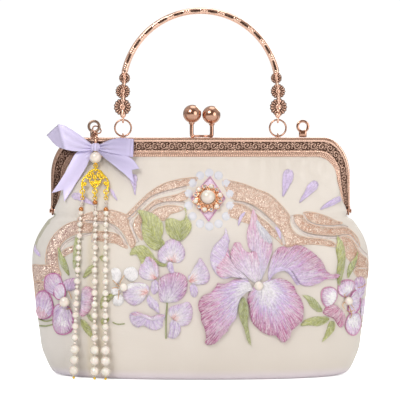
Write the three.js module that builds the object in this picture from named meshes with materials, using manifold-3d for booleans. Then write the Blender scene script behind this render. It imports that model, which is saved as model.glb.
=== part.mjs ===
import * as THREE from "three";
import { mergeVertices } from "three/addons/utils/BufferGeometryUtils.js";
import Module from "manifold-3d";

const wasm = await Module();
wasm.setup();

// An embroidered satin purse on a kiss-lock frame, in millimetres, +Z up, its front towards -Y.
// The origin is the middle of the flat oval base.

// Frame: two U channels, closed face to face on the plane y = 0
const frameWidth = 205;
const frameTop = 163;
const frameDrop = 47; // top edge down to where the channel ends above the hinge
const bandHeight = 13.1;
const armTopWidth = 9.6;
const armTipWidth = 5.4;
const cornerWidth = 18;
const cornerHeight = 27;
const metalWall = 1;
const webWall = 1.2;
const channelSpace = 3.6;
const partingGap = 0.5;
const innerWallHeight = 8;
const reliefDepth = 0.35;

// Hinge at each arm end
const earRadius = 3;
const earThickness = 1.2;
const rivetRadius = 1;
const rivetHeadRadius = 1.8;
const rivetHeadHeight = 0.7;
const hingeDrop = 3.6; // channel end down to the hinge axis

// Cloth body
const sideBulge = 13.7; // the belly stands this far outside the frame
const bodyDepth = 78;
const clothThickness = 1.8;
const seamDrop = 8; // channel end down to the top of the closed side
const sectionPower = 2.2;
const seatInset = 1.8; // frame's outer edge to the cloth's edge in the channel
const armSeatInset = 4.1;

// Kiss lock
const ballDiameter = 12.6;
const ballGapX = 0.6;
const leftBallHeight = 16.2; // ball's centre over the frame's top edge
const rightBallHeight = 15.5;
const lockCentreX = 0.9;
const ballDepth = 0.8;
const postDiameter = 2.7;
const collarDiameter = 3.9;
const collarHeight = 1.3;
const footLength = 15.4;
const footDepth = 2.6;
const footHeight = 1.4;

// Handle, its end fittings and rings
const handleRadius = 53.2;
const handleTube = 4.4;
const handleRise = 33.4; // arch centre over the frame's top edge
const archEndRise = 11.2; // the arch stops this far above its centre
const ringRadius = 5.6;
const ringWire = 1.2;
const ringRoom = 0.35;
const loopWall = 1;
const loopThickness = 1.7;
const eyeRadius = 2.2;
const eyeHole = 1.05;
const eyeThickness = 2.2;
const rosetteThickness = 3.4;
const neckDiameter = 2.6;
const fittingOut = 1.1; // the end fittings hang this far outside the arch's ends

// Strap lugs
const lugOuter = 9;
const lugHole = 5.3;
const lugStemWidth = 5.3;
const lugThickness = 1.1;
const lugRise = 7.6; // hole's centre over the frame's top edge
const leftLugInset = 29.5; // hole's centre from the frame's outer edge
const rightLugInset = 32.3;
const lugFoot = 2.4;

// Clearance between touching pieces
const gap = 0.3;

// Charm
const charmRingRadius = 3.1;
const charmWire = 1;
const claspEyeRadius = 1.8;
const claspLever = 6.4;
const claspTurn = -0.8; // place on the charm ring, from its lowest point
const ribbonThickness = 1.2;
const ribbonDepth = 2.4; // front face of the frame to the back of the ribbon
const knotWidth = 6.6;
const knotHeight = 4.8;
const knotDepth = 5;
const knotSink = 1.2; // the knot lies this deep in the bow
const charmPearl = 8.3;
const pinWire = 0.9;
const connectorWidth = 19.2;
const connectorHeight = 19.8;
const connectorThickness = 1.4;
const linkDrop = 2.2;
const linkWire = 0.8;
const eyeRing = 1.2;

// Strings of pearls
const threadDiameter = 1;
const boreRoom = 0.3;
const seedBead = 2.3;
const topPearl = 3.8;
const lowPearl = 5.1;
const dropPearl = 6.6;
const crimp = 2.2;
const mainPearls = 12;
const ownPearls = 4; // pearls at the foot of a string that are pieces of their own
const dropPearls = 3;
const floorRoom = 0.4;
const spacerBead = 1.5;
const spacerRoom = 1.6;
const roundBead = 2.6; // a bead over this size is drawn round, a smaller one as an octahedron
const topSeeds = [1.9, 4.3, 6.5]; // small beads, from a string's top
const firstPearlDrop = 9; // a string's top down to its first large pearl
const slackShare = 0.6; // share of a string that gains in distance from the cloth

// Brooch and flower pearls
const broochRadius = 10.4;
const broochPearl = 9.6;
const broochPlate = 1.2;
const stoneCount = 12;
const stoneCircle = 8.1;
const broochX = 5;
const broochLift = 0.75;
const pearlSeat = 0.1; // off the drawn cloth line, which stands a little off the cloth

const satin = new THREE.MeshStandardMaterial({ color: 0xe9e2d3, roughness: 0.5 });
const roseGold = new THREE.MeshStandardMaterial({
  color: 0xd09478,
  roughness: 0.3,
  metalness: 1,
});
const bronze = new THREE.MeshStandardMaterial({ color: 0x8f7566, roughness: 0.45, metalness: 1 });
const yellowGold = new THREE.MeshStandardMaterial({
  color: 0xf2c03a,
  roughness: 0.3,
  metalness: 1,
});
const ribbonSatin = new THREE.MeshStandardMaterial({ color: 0xcdbfee, roughness: 0.45 });
const pearlCoat = new THREE.MeshStandardMaterial({ color: 0xf4ece6, roughness: 0.2 });
const silk = new THREE.MeshStandardMaterial({ color: 0xf0ece6, roughness: 0.6 });

const purse = new THREE.Group();
const rings = new THREE.Group();
const handle = new THREE.Group();
purse.add(rings);
rings.add(handle);

function addPiece(name, geometry, material, parent = purse) {
  const mesh = new THREE.Mesh(geometry, material);
  mesh.name = name;
  parent.add(mesh);
  return mesh;
}

// Closed geometry to solid and back, for joins and cuts

function toSolid(geometry) {
  const bare = geometry.index ? geometry.toNonIndexed() : geometry.clone();
  bare.deleteAttribute("normal");
  bare.deleteAttribute("uv");
  const merged = mergeVertices(bare, 1e-4);
  const order = merged.index.array;
  const kept = [];
  for (let i = 0; i < order.length; i += 3) {
    const [a, b, c] = [order[i], order[i + 1], order[i + 2]];
    if (a !== b && b !== c && c !== a) kept.push(a, b, c);
  }
  return new wasm.Manifold(
    new wasm.Mesh({
      numProp: 3,
      vertProperties: merged.attributes.position.array,
      triVerts: new Uint32Array(kept),
    }),
  );
}

function toGeometry(solid) {
  const mesh = solid.getMesh();
  const geometry = new THREE.BufferGeometry();
  geometry.setAttribute("position", new THREE.BufferAttribute(mesh.vertProperties, 3));
  geometry.setIndex(new THREE.BufferAttribute(mesh.triVerts, 1));
  return geometry;
}

function joined(...geometries) {
  const solids = geometries.map(toSolid);
  return toGeometry(solids.reduce((whole, next) => whole.add(next)));
}

function cutBy(geometry, ...tools) {
  return toGeometry(tools.map(toSolid).reduce((left, tool) => left.subtract(tool), toSolid(geometry)));
}

// Shapes drawn as seen from the front, and small round pieces

function frontPlate(shape, thickness, yMiddle, curveSegments = 10) {
  const plate = new THREE.ExtrudeGeometry(shape, {
    depth: thickness,
    bevelEnabled: false,
    curveSegments,
  });
  plate.rotateX(Math.PI / 2);
  plate.translate(0, yMiddle + thickness / 2, 0);
  return plate;
}

function sidePlate(shape, thickness, xMiddle, curveSegments = 8) {
  // the shape's x is the piece's y, its y is the height
  const plate = new THREE.ExtrudeGeometry(shape, {
    depth: thickness,
    bevelEnabled: false,
    curveSegments,
  });
  plate.rotateX(Math.PI / 2);
  plate.rotateZ(Math.PI / 2);
  plate.translate(xMiddle - thickness / 2, 0, 0);
  return plate;
}

function tube(curve, diameter, steps, sides = 8) {
  const section = new THREE.Shape();
  for (let i = 0; i < sides; i += 1) {
    const turn = (2 * Math.PI * i) / sides;
    const x = (diameter / 2) * Math.cos(turn);
    const y = (diameter / 2) * Math.sin(turn);
    if (i === 0) section.moveTo(x, y);
    else section.lineTo(x, y);
  }
  section.closePath();
  return new THREE.ExtrudeGeometry(section, { steps, bevelEnabled: false, extrudePath: curve });
}

function rod(from, to, diameter, sides = 10) {
  const along = new THREE.Vector3().subVectors(to, from);
  const piece = new THREE.CylinderGeometry(diameter / 2, diameter / 2, along.length(), sides);
  const turn = new THREE.Quaternion().setFromUnitVectors(
    new THREE.Vector3(0, 1, 0),
    along.clone().normalize(),
  );
  piece.applyQuaternion(turn);
  piece.translate((from.x + to.x) / 2, (from.y + to.y) / 2, (from.z + to.z) / 2);
  return piece;
}

function ball(centre, diameter, around = 14, down = 9) {
  const piece = new THREE.SphereGeometry(diameter / 2, around, down);
  piece.rotateX(Math.PI / 2);
  piece.translate(centre.x, centre.y, centre.z);
  return piece;
}

function ring(centre, radius, wire, axis, around = 20, sides = 6) {
  const piece = new THREE.TorusGeometry(radius, wire / 2, sides, around);
  const turn = new THREE.Quaternion().setFromUnitVectors(
    new THREE.Vector3(0, 0, 1),
    axis.clone().normalize(),
  );
  piece.applyQuaternion(turn);
  piece.translate(centre.x, centre.y, centre.z);
  return piece;
}

function boredPearl(centre, diameter, bore, along = new THREE.Vector3(0, 0, 1)) {
  const radius = diameter / 2;
  const start = Math.asin(bore / 2 / radius);
  const profile = [];
  const steps = 5;
  for (let i = 0; i <= steps; i += 1) {
    const angle = start + ((Math.PI - 2 * start) * i) / steps;
    profile.push(new THREE.Vector2(radius * Math.sin(angle), -radius * Math.cos(angle)));
  }
  profile.push(profile[0].clone());
  const piece = new THREE.LatheGeometry(profile, 8);
  piece.applyQuaternion(
    new THREE.Quaternion().setFromUnitVectors(new THREE.Vector3(0, 1, 0), along),
  );
  piece.translate(centre.x, centre.y, centre.z);
  return piece;
}

function loft(stations, profile) {
  // stations are rings of points that follow one profile, capped at both ends
  const count = profile.length;
  const corners = stations.flat();
  const faces = [];
  for (let s = 0; s < stations.length - 1; s += 1) {
    for (let i = 0; i < count; i += 1) {
      const a = s * count + i;
      const b = s * count + ((i + 1) % count);
      faces.push(a, b, b + count, a, b + count, a + count);
    }
  }
  const last = (stations.length - 1) * count;
  const clockwise = THREE.ShapeUtils.isClockWise(profile);
  for (const [a, second, third] of THREE.ShapeUtils.triangulateShape(profile, [])) {
    const turned = THREE.ShapeUtils.isClockWise([profile[a], profile[second], profile[third]]);
    const [b, c] = turned === clockwise ? [second, third] : [third, second];
    faces.push(c, b, a, last + a, last + b, last + c);
  }
  return closedFaces(corners, faces);
}

function closedFaces(corners, faces) {
  const geometry = new THREE.BufferGeometry();
  geometry.setFromPoints(corners);
  geometry.setIndex(faces);
  return volumeOf(geometry) < 0 ? turnedOut(geometry) : geometry;
}

function volumeOf(geometry) {
  const position = geometry.attributes.position;
  const order = geometry.index.array;
  const [a, b, c] = [new THREE.Vector3(), new THREE.Vector3(), new THREE.Vector3()];
  let sum = 0;
  for (let i = 0; i < order.length; i += 3) {
    a.fromBufferAttribute(position, order[i]);
    b.fromBufferAttribute(position, order[i + 1]);
    c.fromBufferAttribute(position, order[i + 2]);
    sum += a.dot(b.cross(c)) / 6;
  }
  return sum;
}

function turnedOut(geometry) {
  const order = Array.from(geometry.index.array);
  for (let i = 0; i < order.length; i += 3) {
    [order[i + 1], order[i + 2]] = [order[i + 2], order[i + 1]];
  }
  geometry.setIndex(order);
  return geometry;
}

// Frame path. A station is a place on the outer edge, the direction to the inner edge, and the width.

const halfFrame = frameWidth / 2;
const channelEnd = frameTop - frameDrop;
const cornerBase = frameTop - cornerHeight;
const channelMiddle = partingGap / 2 + metalWall + channelSpace / 2;
const frontFace = partingGap / 2 + 2 * metalWall + channelSpace;
const innerCorner = {
  x: halfFrame - cornerWidth - 4.5,
  z: cornerBase - 2,
};
const innerCornerWidth = halfFrame - armTopWidth - innerCorner.x;
const innerCornerHeight = frameTop - bandHeight - innerCorner.z;

function armWidth(z) {
  const share = (z - channelEnd) / (innerCorner.z - channelEnd);
  return THREE.MathUtils.lerp(armTipWidth, armTopWidth, THREE.MathUtils.clamp(share, 0, 1));
}

function framePath() {
  const half = [];
  for (const share of [0, 0.35, 0.7]) {
    const z = THREE.MathUtils.lerp(channelEnd, cornerBase, share);
    half.push({ outer: [halfFrame, z], inner: [halfFrame - armWidth(z), z] });
  }
  const cornerSteps = 5;
  for (let i = 0; i <= cornerSteps; i += 1) {
    const turn = (Math.PI / 2) * (i / cornerSteps);
    half.push({
      outer: [
        halfFrame - cornerWidth + cornerWidth * Math.cos(turn),
        cornerBase + cornerHeight * Math.sin(turn),
      ],
      inner: [
        innerCorner.x + innerCornerWidth * Math.cos(turn),
        innerCorner.z + innerCornerHeight * Math.sin(turn),
      ],
    });
  }
  const topX = 0.3 * halfFrame;
  half.push({ outer: [topX, frameTop], inner: [topX, frameTop - bandHeight] });
  const mirrored = half.map(({ outer, inner }) => ({
    outer: [-outer[0], outer[1]],
    inner: [-inner[0], inner[1]],
  }));
  return [...half, ...mirrored.reverse()];
}

// Channel section: across is measured from the outer edge inwards, depth from the plane y = 0
function channelProfile() {
  const face = frontFace;
  const parting = partingGap / 2;
  const band = bandHeight;
  return [
    [0, face - 0.5],
    [0.5, face],
    [0.21 * band, face],
    [0.23 * band, face - reliefDepth],
    [0.67 * band, face - reliefDepth],
    [0.69 * band, face],
    [0.8 * band, face],
    [0.82 * band, face - 0.5 * reliefDepth],
    [band, face - 0.5 * reliefDepth],
    [band, face - metalWall],
    [webWall, face - metalWall],
    [webWall, parting + metalWall],
    [innerWallHeight, parting + metalWall],
    [innerWallHeight, parting],
    [0, parting],
  ].map(([across, depth]) => new THREE.Vector2(across, depth));
}

function channel(side) {
  const profile = channelProfile();
  const stations = framePath().map(({ outer, inner }) => {
    const direction = new THREE.Vector2(inner[0] - outer[0], inner[1] - outer[1]);
    const width = direction.length();
    direction.normalize();
    return profile.map(({ x: across, y: depth }) => {
      const reach = across <= webWall ? across : webWall + squeezed(across - webWall, width);
      return new THREE.Vector3(
        outer[0] + direction.x * reach,
        side * depth,
        outer[1] + direction.y * reach,
      );
    });
  });
  return loft(stations, profile);
}

function squeezed(across, width) {
  return (across * (width - webWall)) / (bandHeight - webWall);
}

// Hinge ear: a disc on the hinge axis with an arm up into its channel
const hingeZ = channelEnd - hingeDrop;
const frontEarX = halfFrame - webWall / 2;
const backEarX = frontEarX - earThickness - gap;

function ear(side, xMiddle, mirror) {
  const arm = new THREE.Shape();
  const armHigh = channelEnd + 2.4;
  const reach = side * (partingGap / 2 + metalWall + 0.4);
  const far = side * (frontFace - metalWall - 0.4);
  arm.moveTo(reach, armHigh);
  arm.lineTo(far, armHigh);
  arm.lineTo(far, channelEnd - 0.4);
  arm.lineTo(side * earRadius * 0.9, hingeZ - 0.2);
  arm.lineTo(-side * 0.5, hingeZ + 1.4);
  arm.lineTo(reach, channelEnd - 0.4);
  arm.closePath();
  const disc = new THREE.CylinderGeometry(earRadius, earRadius, earThickness, 16);
  disc.rotateZ(Math.PI / 2);
  disc.translate(mirror * xMiddle, 0, hingeZ);
  const plate = sidePlate(arm, earThickness, mirror * xMiddle);
  // ties an ear that is set inwards to its channel's web
  const tieDepth = Math.abs(far - reach);
  const tieWidth = halfFrame - 0.4 - (xMiddle - earThickness / 2);
  const tie = new THREE.BoxGeometry(tieWidth, tieDepth, 1.8);
  tie.translate(
    mirror * (halfFrame - 0.4 - tieWidth / 2),
    (reach + far) / 2,
    channelEnd + 1.4,
  );
  return [disc, plate, tie];
}

function rivetHole(mirror) {
  const hole = new THREE.CylinderGeometry(
    rivetRadius + 0.25,
    rivetRadius + 0.25,
    8,
    12,
  );
  hole.rotateZ(Math.PI / 2);
  hole.translate(mirror * (frontEarX - 1), 0, hingeZ);
  return hole;
}

// Staple on the frame's top edge that a ring runs through
const ringZ = frameTop + ringWire / 2 + ringRoom;
const pivotY = -channelMiddle;
const handleX = Math.sqrt(handleRadius ** 2 - archEndRise ** 2) + fittingOut;

function staple(x) {
  const inside = ringWire / 2 + ringRoom + 0.05;
  const outside = inside + loopWall;
  const outline = new THREE.Shape();
  outline.moveTo(pivotY + outside, frameTop - webWall * 0.8);
  outline.lineTo(pivotY + outside, ringZ);
  outline.absarc(pivotY, ringZ, outside, 0, Math.PI, false);
  outline.lineTo(pivotY - outside, frameTop - webWall * 0.8);
  outline.lineTo(pivotY - inside, frameTop - webWall * 0.8);
  outline.lineTo(pivotY - inside, ringZ);
  outline.absarc(pivotY, ringZ, inside, Math.PI, 0, true);
  outline.lineTo(pivotY + inside, frameTop - webWall * 0.8);
  outline.closePath();
  return sidePlate(outline, loopThickness, x, 6);
}

function frameHalf(side) {
  const pieces = [channel(side)];
  const xMiddle = side < 0 ? frontEarX : backEarX;
  for (const mirror of [1, -1]) pieces.push(...ear(side, xMiddle, mirror));
  if (side < 0) pieces.push(staple(handleX), staple(-handleX));
  return cutBy(joined(...pieces), rivetHole(1), rivetHole(-1));
}

addPiece("frame_front", frameHalf(-1), roseGold);
addPiece("frame_back", frameHalf(1), roseGold);

function hingeRivet(mirror) {
  const innerFace = backEarX - earThickness / 2 - gap;
  const outerFace = frontEarX + earThickness / 2 + gap;
  const at = (x) => new THREE.Vector3(mirror * x, 0, hingeZ);
  return joined(
    rod(at(innerFace - 0.2), at(outerFace + 0.2), 2 * rivetRadius, 12),
    rod(at(innerFace - rivetHeadHeight), at(innerFace), 2 * rivetHeadRadius, 12),
    rod(at(outerFace), at(outerFace + rivetHeadHeight), 2 * rivetHeadRadius, 12),
  );
}

addPiece("hinge_rivet_right", hingeRivet(1), roseGold);
addPiece("hinge_rivet_left", hingeRivet(-1), roseGold);

// Kiss lock: one ball, post and foot on each half of the frame

function lockArm(side) {
  const left = side < 0;
  const away = (ballDiameter + ballGapX) / 2;
  const ballX = lockCentreX + side * away;
  const postX = ballX + side * 0.3;
  const ballZ = frameTop + (left ? leftBallHeight : rightBallHeight);
  const y = side * channelMiddle;
  const footZ = frameTop + gap + footHeight / 2;
  const foot = new THREE.BoxGeometry(footLength, footDepth, footHeight);
  foot.translate(postX - side * (footLength / 2 - postDiameter / 2), y, footZ);
  const neck = ballZ - ballDiameter / 2;
  return joined(
    foot,
    rod(new THREE.Vector3(postX, y, footZ), new THREE.Vector3(postX, y, neck + 2.4), postDiameter),
    rod(
      new THREE.Vector3(postX, y, neck - collarHeight * 0.6),
      new THREE.Vector3(postX, y, neck + collarHeight * 0.9),
      collarDiameter,
      12,
    ),
    ball(new THREE.Vector3(ballX, side * ballDepth, ballZ), ballDiameter, 12, 8),
  );
}

addPiece("clasp_front", lockArm(-1), roseGold);
addPiece("clasp_back", lockArm(1), roseGold);

// Rings and handle. The rings turn in the staples, the handle's eyes turn on the rings.

const ringCentreZ = ringZ + ringRadius;
const eyeZ = ringZ + 2 * ringRadius;
const yAxis = new THREE.Vector3(0, 1, 0);

for (const [name, x] of [
  ["ring_left", -handleX],
  ["ring_right", handleX],
]) {
  const centre = new THREE.Vector3(x, pivotY, ringCentreZ);
  addPiece(name, ring(centre, ringRadius, ringWire, yAxis, 18, 5), roseGold, rings);
}

const archZ = frameTop + handleRise;

function handleArch() {
  const past = Math.asin(archEndRise / handleRadius);
  const points = [];
  const count = 12;
  for (let i = 0; i <= count; i += 1) {
    const turn = past + ((Math.PI - 2 * past) * i) / count;
    points.push(
      new THREE.Vector3(
        handleRadius * Math.cos(turn),
        pivotY,
        archZ + handleRadius * Math.sin(turn),
      ),
    );
  }
  return tube(new THREE.CatmullRomCurve3(points), handleTube, 22, 7);
}

addPiece("handle_arch", handleArch(), roseGold, handle);

const rosettes = [
  { rise: 0.18, outward: 0, diameter: 7.9 },
  { rise: 0.534, outward: 1.2, diameter: 10.3 },
  { rise: 1, outward: 1.5, diameter: 12.1 },
];

function handleEnd(mirror) {
  const past = Math.asin(archEndRise / handleRadius);
  const endX = handleRadius * Math.cos(past);
  const endZ = archZ + handleRadius * Math.sin(past);
  const lowZ = eyeZ + eyeRadius + 0.5 + rosettes[2].diameter / 2;
  const topZ = endZ - gap - (handleTube / 2) * Math.sin(past);
  const pieces = [];
  let before = new THREE.Vector3(mirror * endX, pivotY, topZ);
  for (const { rise, outward, diameter } of rosettes) {
    const centre = new THREE.Vector3(
      mirror * (endX + outward),
      pivotY,
      THREE.MathUtils.lerp(topZ, lowZ, rise),
    );
    const disc = new THREE.CylinderGeometry(diameter / 2, diameter / 2, rosetteThickness, 12);
    disc.translate(centre.x, centre.y, centre.z);
    pieces.push(disc, rod(before, centre, handleTube, 8));
    before = centre;
  }
  const eyeCentre = new THREE.Vector3(mirror * handleX, pivotY, eyeZ);
  const neck = rod(before, eyeCentre, neckDiameter, 8);
  const eye = new THREE.CylinderGeometry(eyeRadius, eyeRadius, eyeThickness, 14);
  eye.rotateZ(Math.PI / 2);
  eye.translate(eyeCentre.x, eyeCentre.y, eyeCentre.z);
  const hole = new THREE.CylinderGeometry(eyeHole, eyeHole, eyeThickness * 2, 12);
  hole.rotateZ(Math.PI / 2);
  hole.translate(eyeCentre.x, eyeCentre.y, eyeCentre.z);
  return cutBy(joined(...pieces, neck, eye), hole);
}

addPiece("handle_end_left", handleEnd(-1), roseGold, handle);
addPiece("handle_end_right", handleEnd(1), roseGold, handle);

// Strap lugs: a flat ring on a stem, bent to a foot on the frame's top edge

const leftLugX = -(halfFrame - leftLugInset);
const rightLugX = halfFrame - rightLugInset;
const lugZ = frameTop + lugRise;

function strapLug(x) {
  const outline = new THREE.Shape();
  const half = lugStemWidth / 2;
  const meet = Math.asin(half / (lugOuter / 2));
  const low = frameTop + gap;
  outline.moveTo(x - half, low);
  outline.lineTo(x + half, low);
  outline.absarc(x, lugZ, lugOuter / 2, meet - Math.PI / 2, 1.5 * Math.PI - meet, false);
  outline.closePath();
  const hole = new THREE.Path();
  hole.absarc(x, lugZ, lugHole / 2, 0, 2 * Math.PI, true);
  outline.holes.push(hole);
  const foot = new THREE.BoxGeometry(lugStemWidth, lugFoot, lugThickness);
  foot.translate(x, pivotY + lugFoot / 2, low + lugThickness / 2);
  return joined(frontPlate(outline, lugThickness, pivotY), foot);
}

addPiece("strap_lug_left", strapLug(leftLugX), bronze);
addPiece("strap_lug_right", strapLug(rightLugX), roseGold);

// Cloth body. The closed sides rise to the seam height; above it the front and back panels part
// and run up into their channels. Widths are shares of the side bulge outside the frame,
// depths are shares of the body's depth, heights are shares of the seam height.

const seamZ = channelEnd - seamDrop;
const closedRows = [
  { height: 0, bulge: -0.42, depth: 0.8 },
  { height: 0.014, bulge: -0.12, depth: 0.862 },
  { height: 0.04, bulge: 0.08, depth: 0.9 },
  { height: 0.094, bulge: 0.29, depth: 0.938 },
  { height: 0.172, bulge: 0.52, depth: 0.969 },
  { height: 0.28, bulge: 0.64, depth: 0.993 },
  { height: 0.384, bulge: 0.75, depth: 1 },
  { height: 0.49, bulge: 0.85, depth: 0.99 },
  { height: 0.59, bulge: 0.93, depth: 0.964 },
  { height: 0.68, bulge: 1, depth: 0.93 },
  { height: 0.79, bulge: 0.95, depth: 0.872 },
  { height: 0.87, bulge: 0.76, depth: 0.82 },
  { height: 0.935, bulge: 0.47, depth: 0.77 },
  { height: 1, bulge: 0.1, depth: 0.71 },
];

// Open rows: height is a share of the way from the seam to the frame's lower edge
const openRows = [
  { height: 0.05, depth: 0.69 },
  { height: 0.17, depth: 0.62 },
  { height: 0.3, depth: 0.545 },
  { height: 0.46, depth: 0.44 },
  { height: 0.62, depth: 0.335 },
  { height: 0.76, depth: 0.24 },
  { height: 0.87, depth: 0.17 },
  { height: 0.95, depth: 0.122 },
];
const bandLow = frameTop - bandHeight;
const halfPoints = 12;

function seatEdge(z) {
  if (z < channelEnd + 4) return halfFrame - armSeatInset;
  const rise = THREE.MathUtils.clamp((z - cornerBase) / (cornerHeight - seatInset), 0, 1);
  const reach = cornerWidth - seatInset;
  return halfFrame - cornerWidth + reach * Math.sqrt(1 - rise * rise);
}

function bandInside(z) {
  if (z < innerCorner.z) return halfFrame - armWidth(z) - gap;
  const rise = THREE.MathUtils.clamp((z - innerCorner.z) / innerCornerHeight, 0, 1);
  return innerCorner.x + innerCornerWidth * Math.sqrt(1 - rise * rise) - gap;
}

function rowAt(table, share, key) {
  let row = 1;
  while (row < table.length - 1 && table[row].height < share) row += 1;
  const [low, high] = [table[row - 1], table[row]];
  const way = THREE.MathUtils.clamp((share - low.height) / (high.height - low.height), 0, 1);
  return THREE.MathUtils.lerp(low[key], high[key], way);
}

const power = (value) => Math.sign(value) * Math.abs(value) ** (2 / sectionPower);

// Half width and half depth of the body's outside at a height
function bodySection(z) {
  if (z <= seamZ) {
    const share = z / seamZ;
    return {
      width: halfFrame + sideBulge * rowAt(closedRows, share, "bulge"),
      depth: (bodyDepth / 2) * rowAt(closedRows, share, "depth"),
      seat: 0,
    };
  }
  const share = (z - seamZ) / (bandLow - seamZ);
  return {
    width: bandInside(z),
    depth: (bodyDepth / 2) * rowAt(openRows, share, "depth"),
    seat: channelMiddle + clothThickness / 2,
  };
}

// Distance of the front cloth's outside from the plane y = 0
function clothFront(x, z) {
  const { width, depth, seat } = bodySection(z);
  const across = Math.min(1, Math.abs(x) / width);
  return seat + (depth - seat) * (1 - across ** sectionPower) ** (1 / sectionPower);
}

function closedRow(row, inside) {
  const wall = inside ? clothThickness : 0;
  const z = seamZ * row.height;
  const width = halfFrame + sideBulge * row.bulge - wall;
  const depth = (bodyDepth / 2) * row.depth - wall;
  const lift = wall * (1 - row.height);
  const points = { front: [], back: [] };
  for (let i = 0; i <= halfPoints; i += 1) {
    const turn = (Math.PI * i) / halfPoints;
    const x = width * power(Math.cos(turn));
    const y = i === 0 || i === halfPoints ? 0 : depth * power(Math.sin(turn));
    points.front.push(new THREE.Vector3(x, -y, z + lift));
    points.back.push(new THREE.Vector3(x, y, z + lift));
  }
  return points;
}

function openRow(z, depthOut, inside) {
  const half = clothThickness / 2;
  const seat = channelMiddle + (inside ? -half : half);
  const depth = Math.max(seat, inside ? depthOut - clothThickness : depthOut);
  const edge = seatEdge(z);
  const width = Math.min(bandInside(z), edge - 1);
  const points = { front: [], back: [] };
  for (let i = 0; i <= halfPoints; i += 1) {
    const turn = (Math.PI * (i - 1)) / (halfPoints - 2);
    let x = width * power(Math.cos(turn));
    let y = seat + (depth - seat) * power(Math.sin(turn));
    if (i === 0 || i === halfPoints) x = i === 0 ? edge : -edge;
    if (i <= 1 || i >= halfPoints - 1) y = seat;
    points.front.push(new THREE.Vector3(x, -y, z));
    points.back.push(new THREE.Vector3(x, y, z));
  }
  return points;
}

function bodyRows(inside) {
  const rows = closedRows.map((row) => ({ split: false, ...closedRow(row, inside) }));
  for (const row of openRows) {
    const z = THREE.MathUtils.lerp(seamZ, bandLow, row.height);
    rows.push({ split: true, ...openRow(z, (bodyDepth / 2) * row.depth, inside) });
  }
  const flat = channelMiddle;
  const seatTop = frameTop - seatInset;
  for (const share of [-0.03, 0.4, 0.75, 0.93, 1]) {
    const z = THREE.MathUtils.lerp(bandLow, seatTop, share);
    rows.push({ split: true, ...openRow(z, flat, inside) });
  }
  return rows;
}

function bagBody() {
  const corners = [];
  const faces = [];
  const add = (point) => corners.push(point) - 1;
  const skins = [false, true].map((inside) =>
    bodyRows(inside).map((row) => {
      const front = row.front.map(add);
      const back = row.back.map((point, i) => {
        const shared = !row.split && (i === 0 || i === halfPoints);
        return shared ? front[i] : add(point);
      });
      return { front, back };
    }),
  );
  const quad = (a, b, c, d) => faces.push(a, b, c, a, c, d);
  const [outer, inner] = skins;
  const last = outer.length - 1;
  for (let r = 0; r < last; r += 1) {
    for (let i = 0; i < halfPoints; i += 1) {
      for (const [skin, flip] of [
        [outer, false],
        [inner, true],
      ]) {
        const [low, high] = [skin[r], skin[r + 1]];
        const front = [low.front[i + 1], low.front[i], high.front[i], high.front[i + 1]];
        const back = [low.back[i], low.back[i + 1], high.back[i + 1], high.back[i]];
        if (flip) {
          front.reverse();
          back.reverse();
        }
        quad(...front);
        quad(...back);
      }
    }
    if (outer[r + 1].front[0] === outer[r + 1].back[0]) continue;
    // the edges of the parted panels
    for (const [panel, turned] of [
      ["front", false],
      ["back", true],
    ]) {
      for (const i of [0, halfPoints]) {
        const edge = [
          outer[r][panel][i],
          inner[r][panel][i],
          inner[r + 1][panel][i],
          outer[r + 1][panel][i],
        ];
        if (turned !== (i === halfPoints)) edge.reverse();
        quad(...edge);
      }
    }
  }
  for (let i = 0; i < halfPoints; i += 1) {
    const [top, inTop] = [outer[last], inner[last]];
    quad(top.front[i + 1], top.front[i], inTop.front[i], inTop.front[i + 1]);
    quad(top.back[i], top.back[i + 1], inTop.back[i + 1], inTop.back[i]);
  }
  const underside = add(new THREE.Vector3(0, 0, 0));
  const floor = add(new THREE.Vector3(0, 0, clothThickness));
  for (let i = 0; i < halfPoints; i += 1) {
    faces.push(underside, outer[0].front[i], outer[0].front[i + 1]);
    faces.push(underside, outer[0].back[i + 1], outer[0].back[i]);
    faces.push(floor, inner[0].front[i + 1], inner[0].front[i]);
    faces.push(floor, inner[0].back[i], inner[0].back[i + 1]);
  }
  return closedFaces(corners, faces);
}

addPiece("bag_body", bagBody(), satin);

// Charm. It hangs from the left lug in front of the frame and the cloth.

const knotX = leftLugX + 1.4;
const knotZ = frameTop - 6.7;
const ribbonBack = -frontFace - ribbonDepth + ribbonThickness;
const knotY = ribbonBack - ribbonThickness - gap - knotDepth / 2 + knotSink;

// The ring runs through the lug's hole and round the lower right of its rim
const lugRim = (lugOuter + lugHole) / 4;
const charmRingAxis = new THREE.Vector3(0.42, -0.71, 0.57).normalize();
const charmRingCentre = new THREE.Vector3(
  leftLugX + 0.54 * lugRim,
  pivotY - 0.2,
  lugZ - 0.64 * lugRim,
);
const xAxis = new THREE.Vector3(1, 0, 0);
addPiece(
  "charm_ring",
  ring(charmRingCentre, charmRingRadius, charmWire, charmRingAxis, 14, 5),
  roseGold,
);

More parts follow.
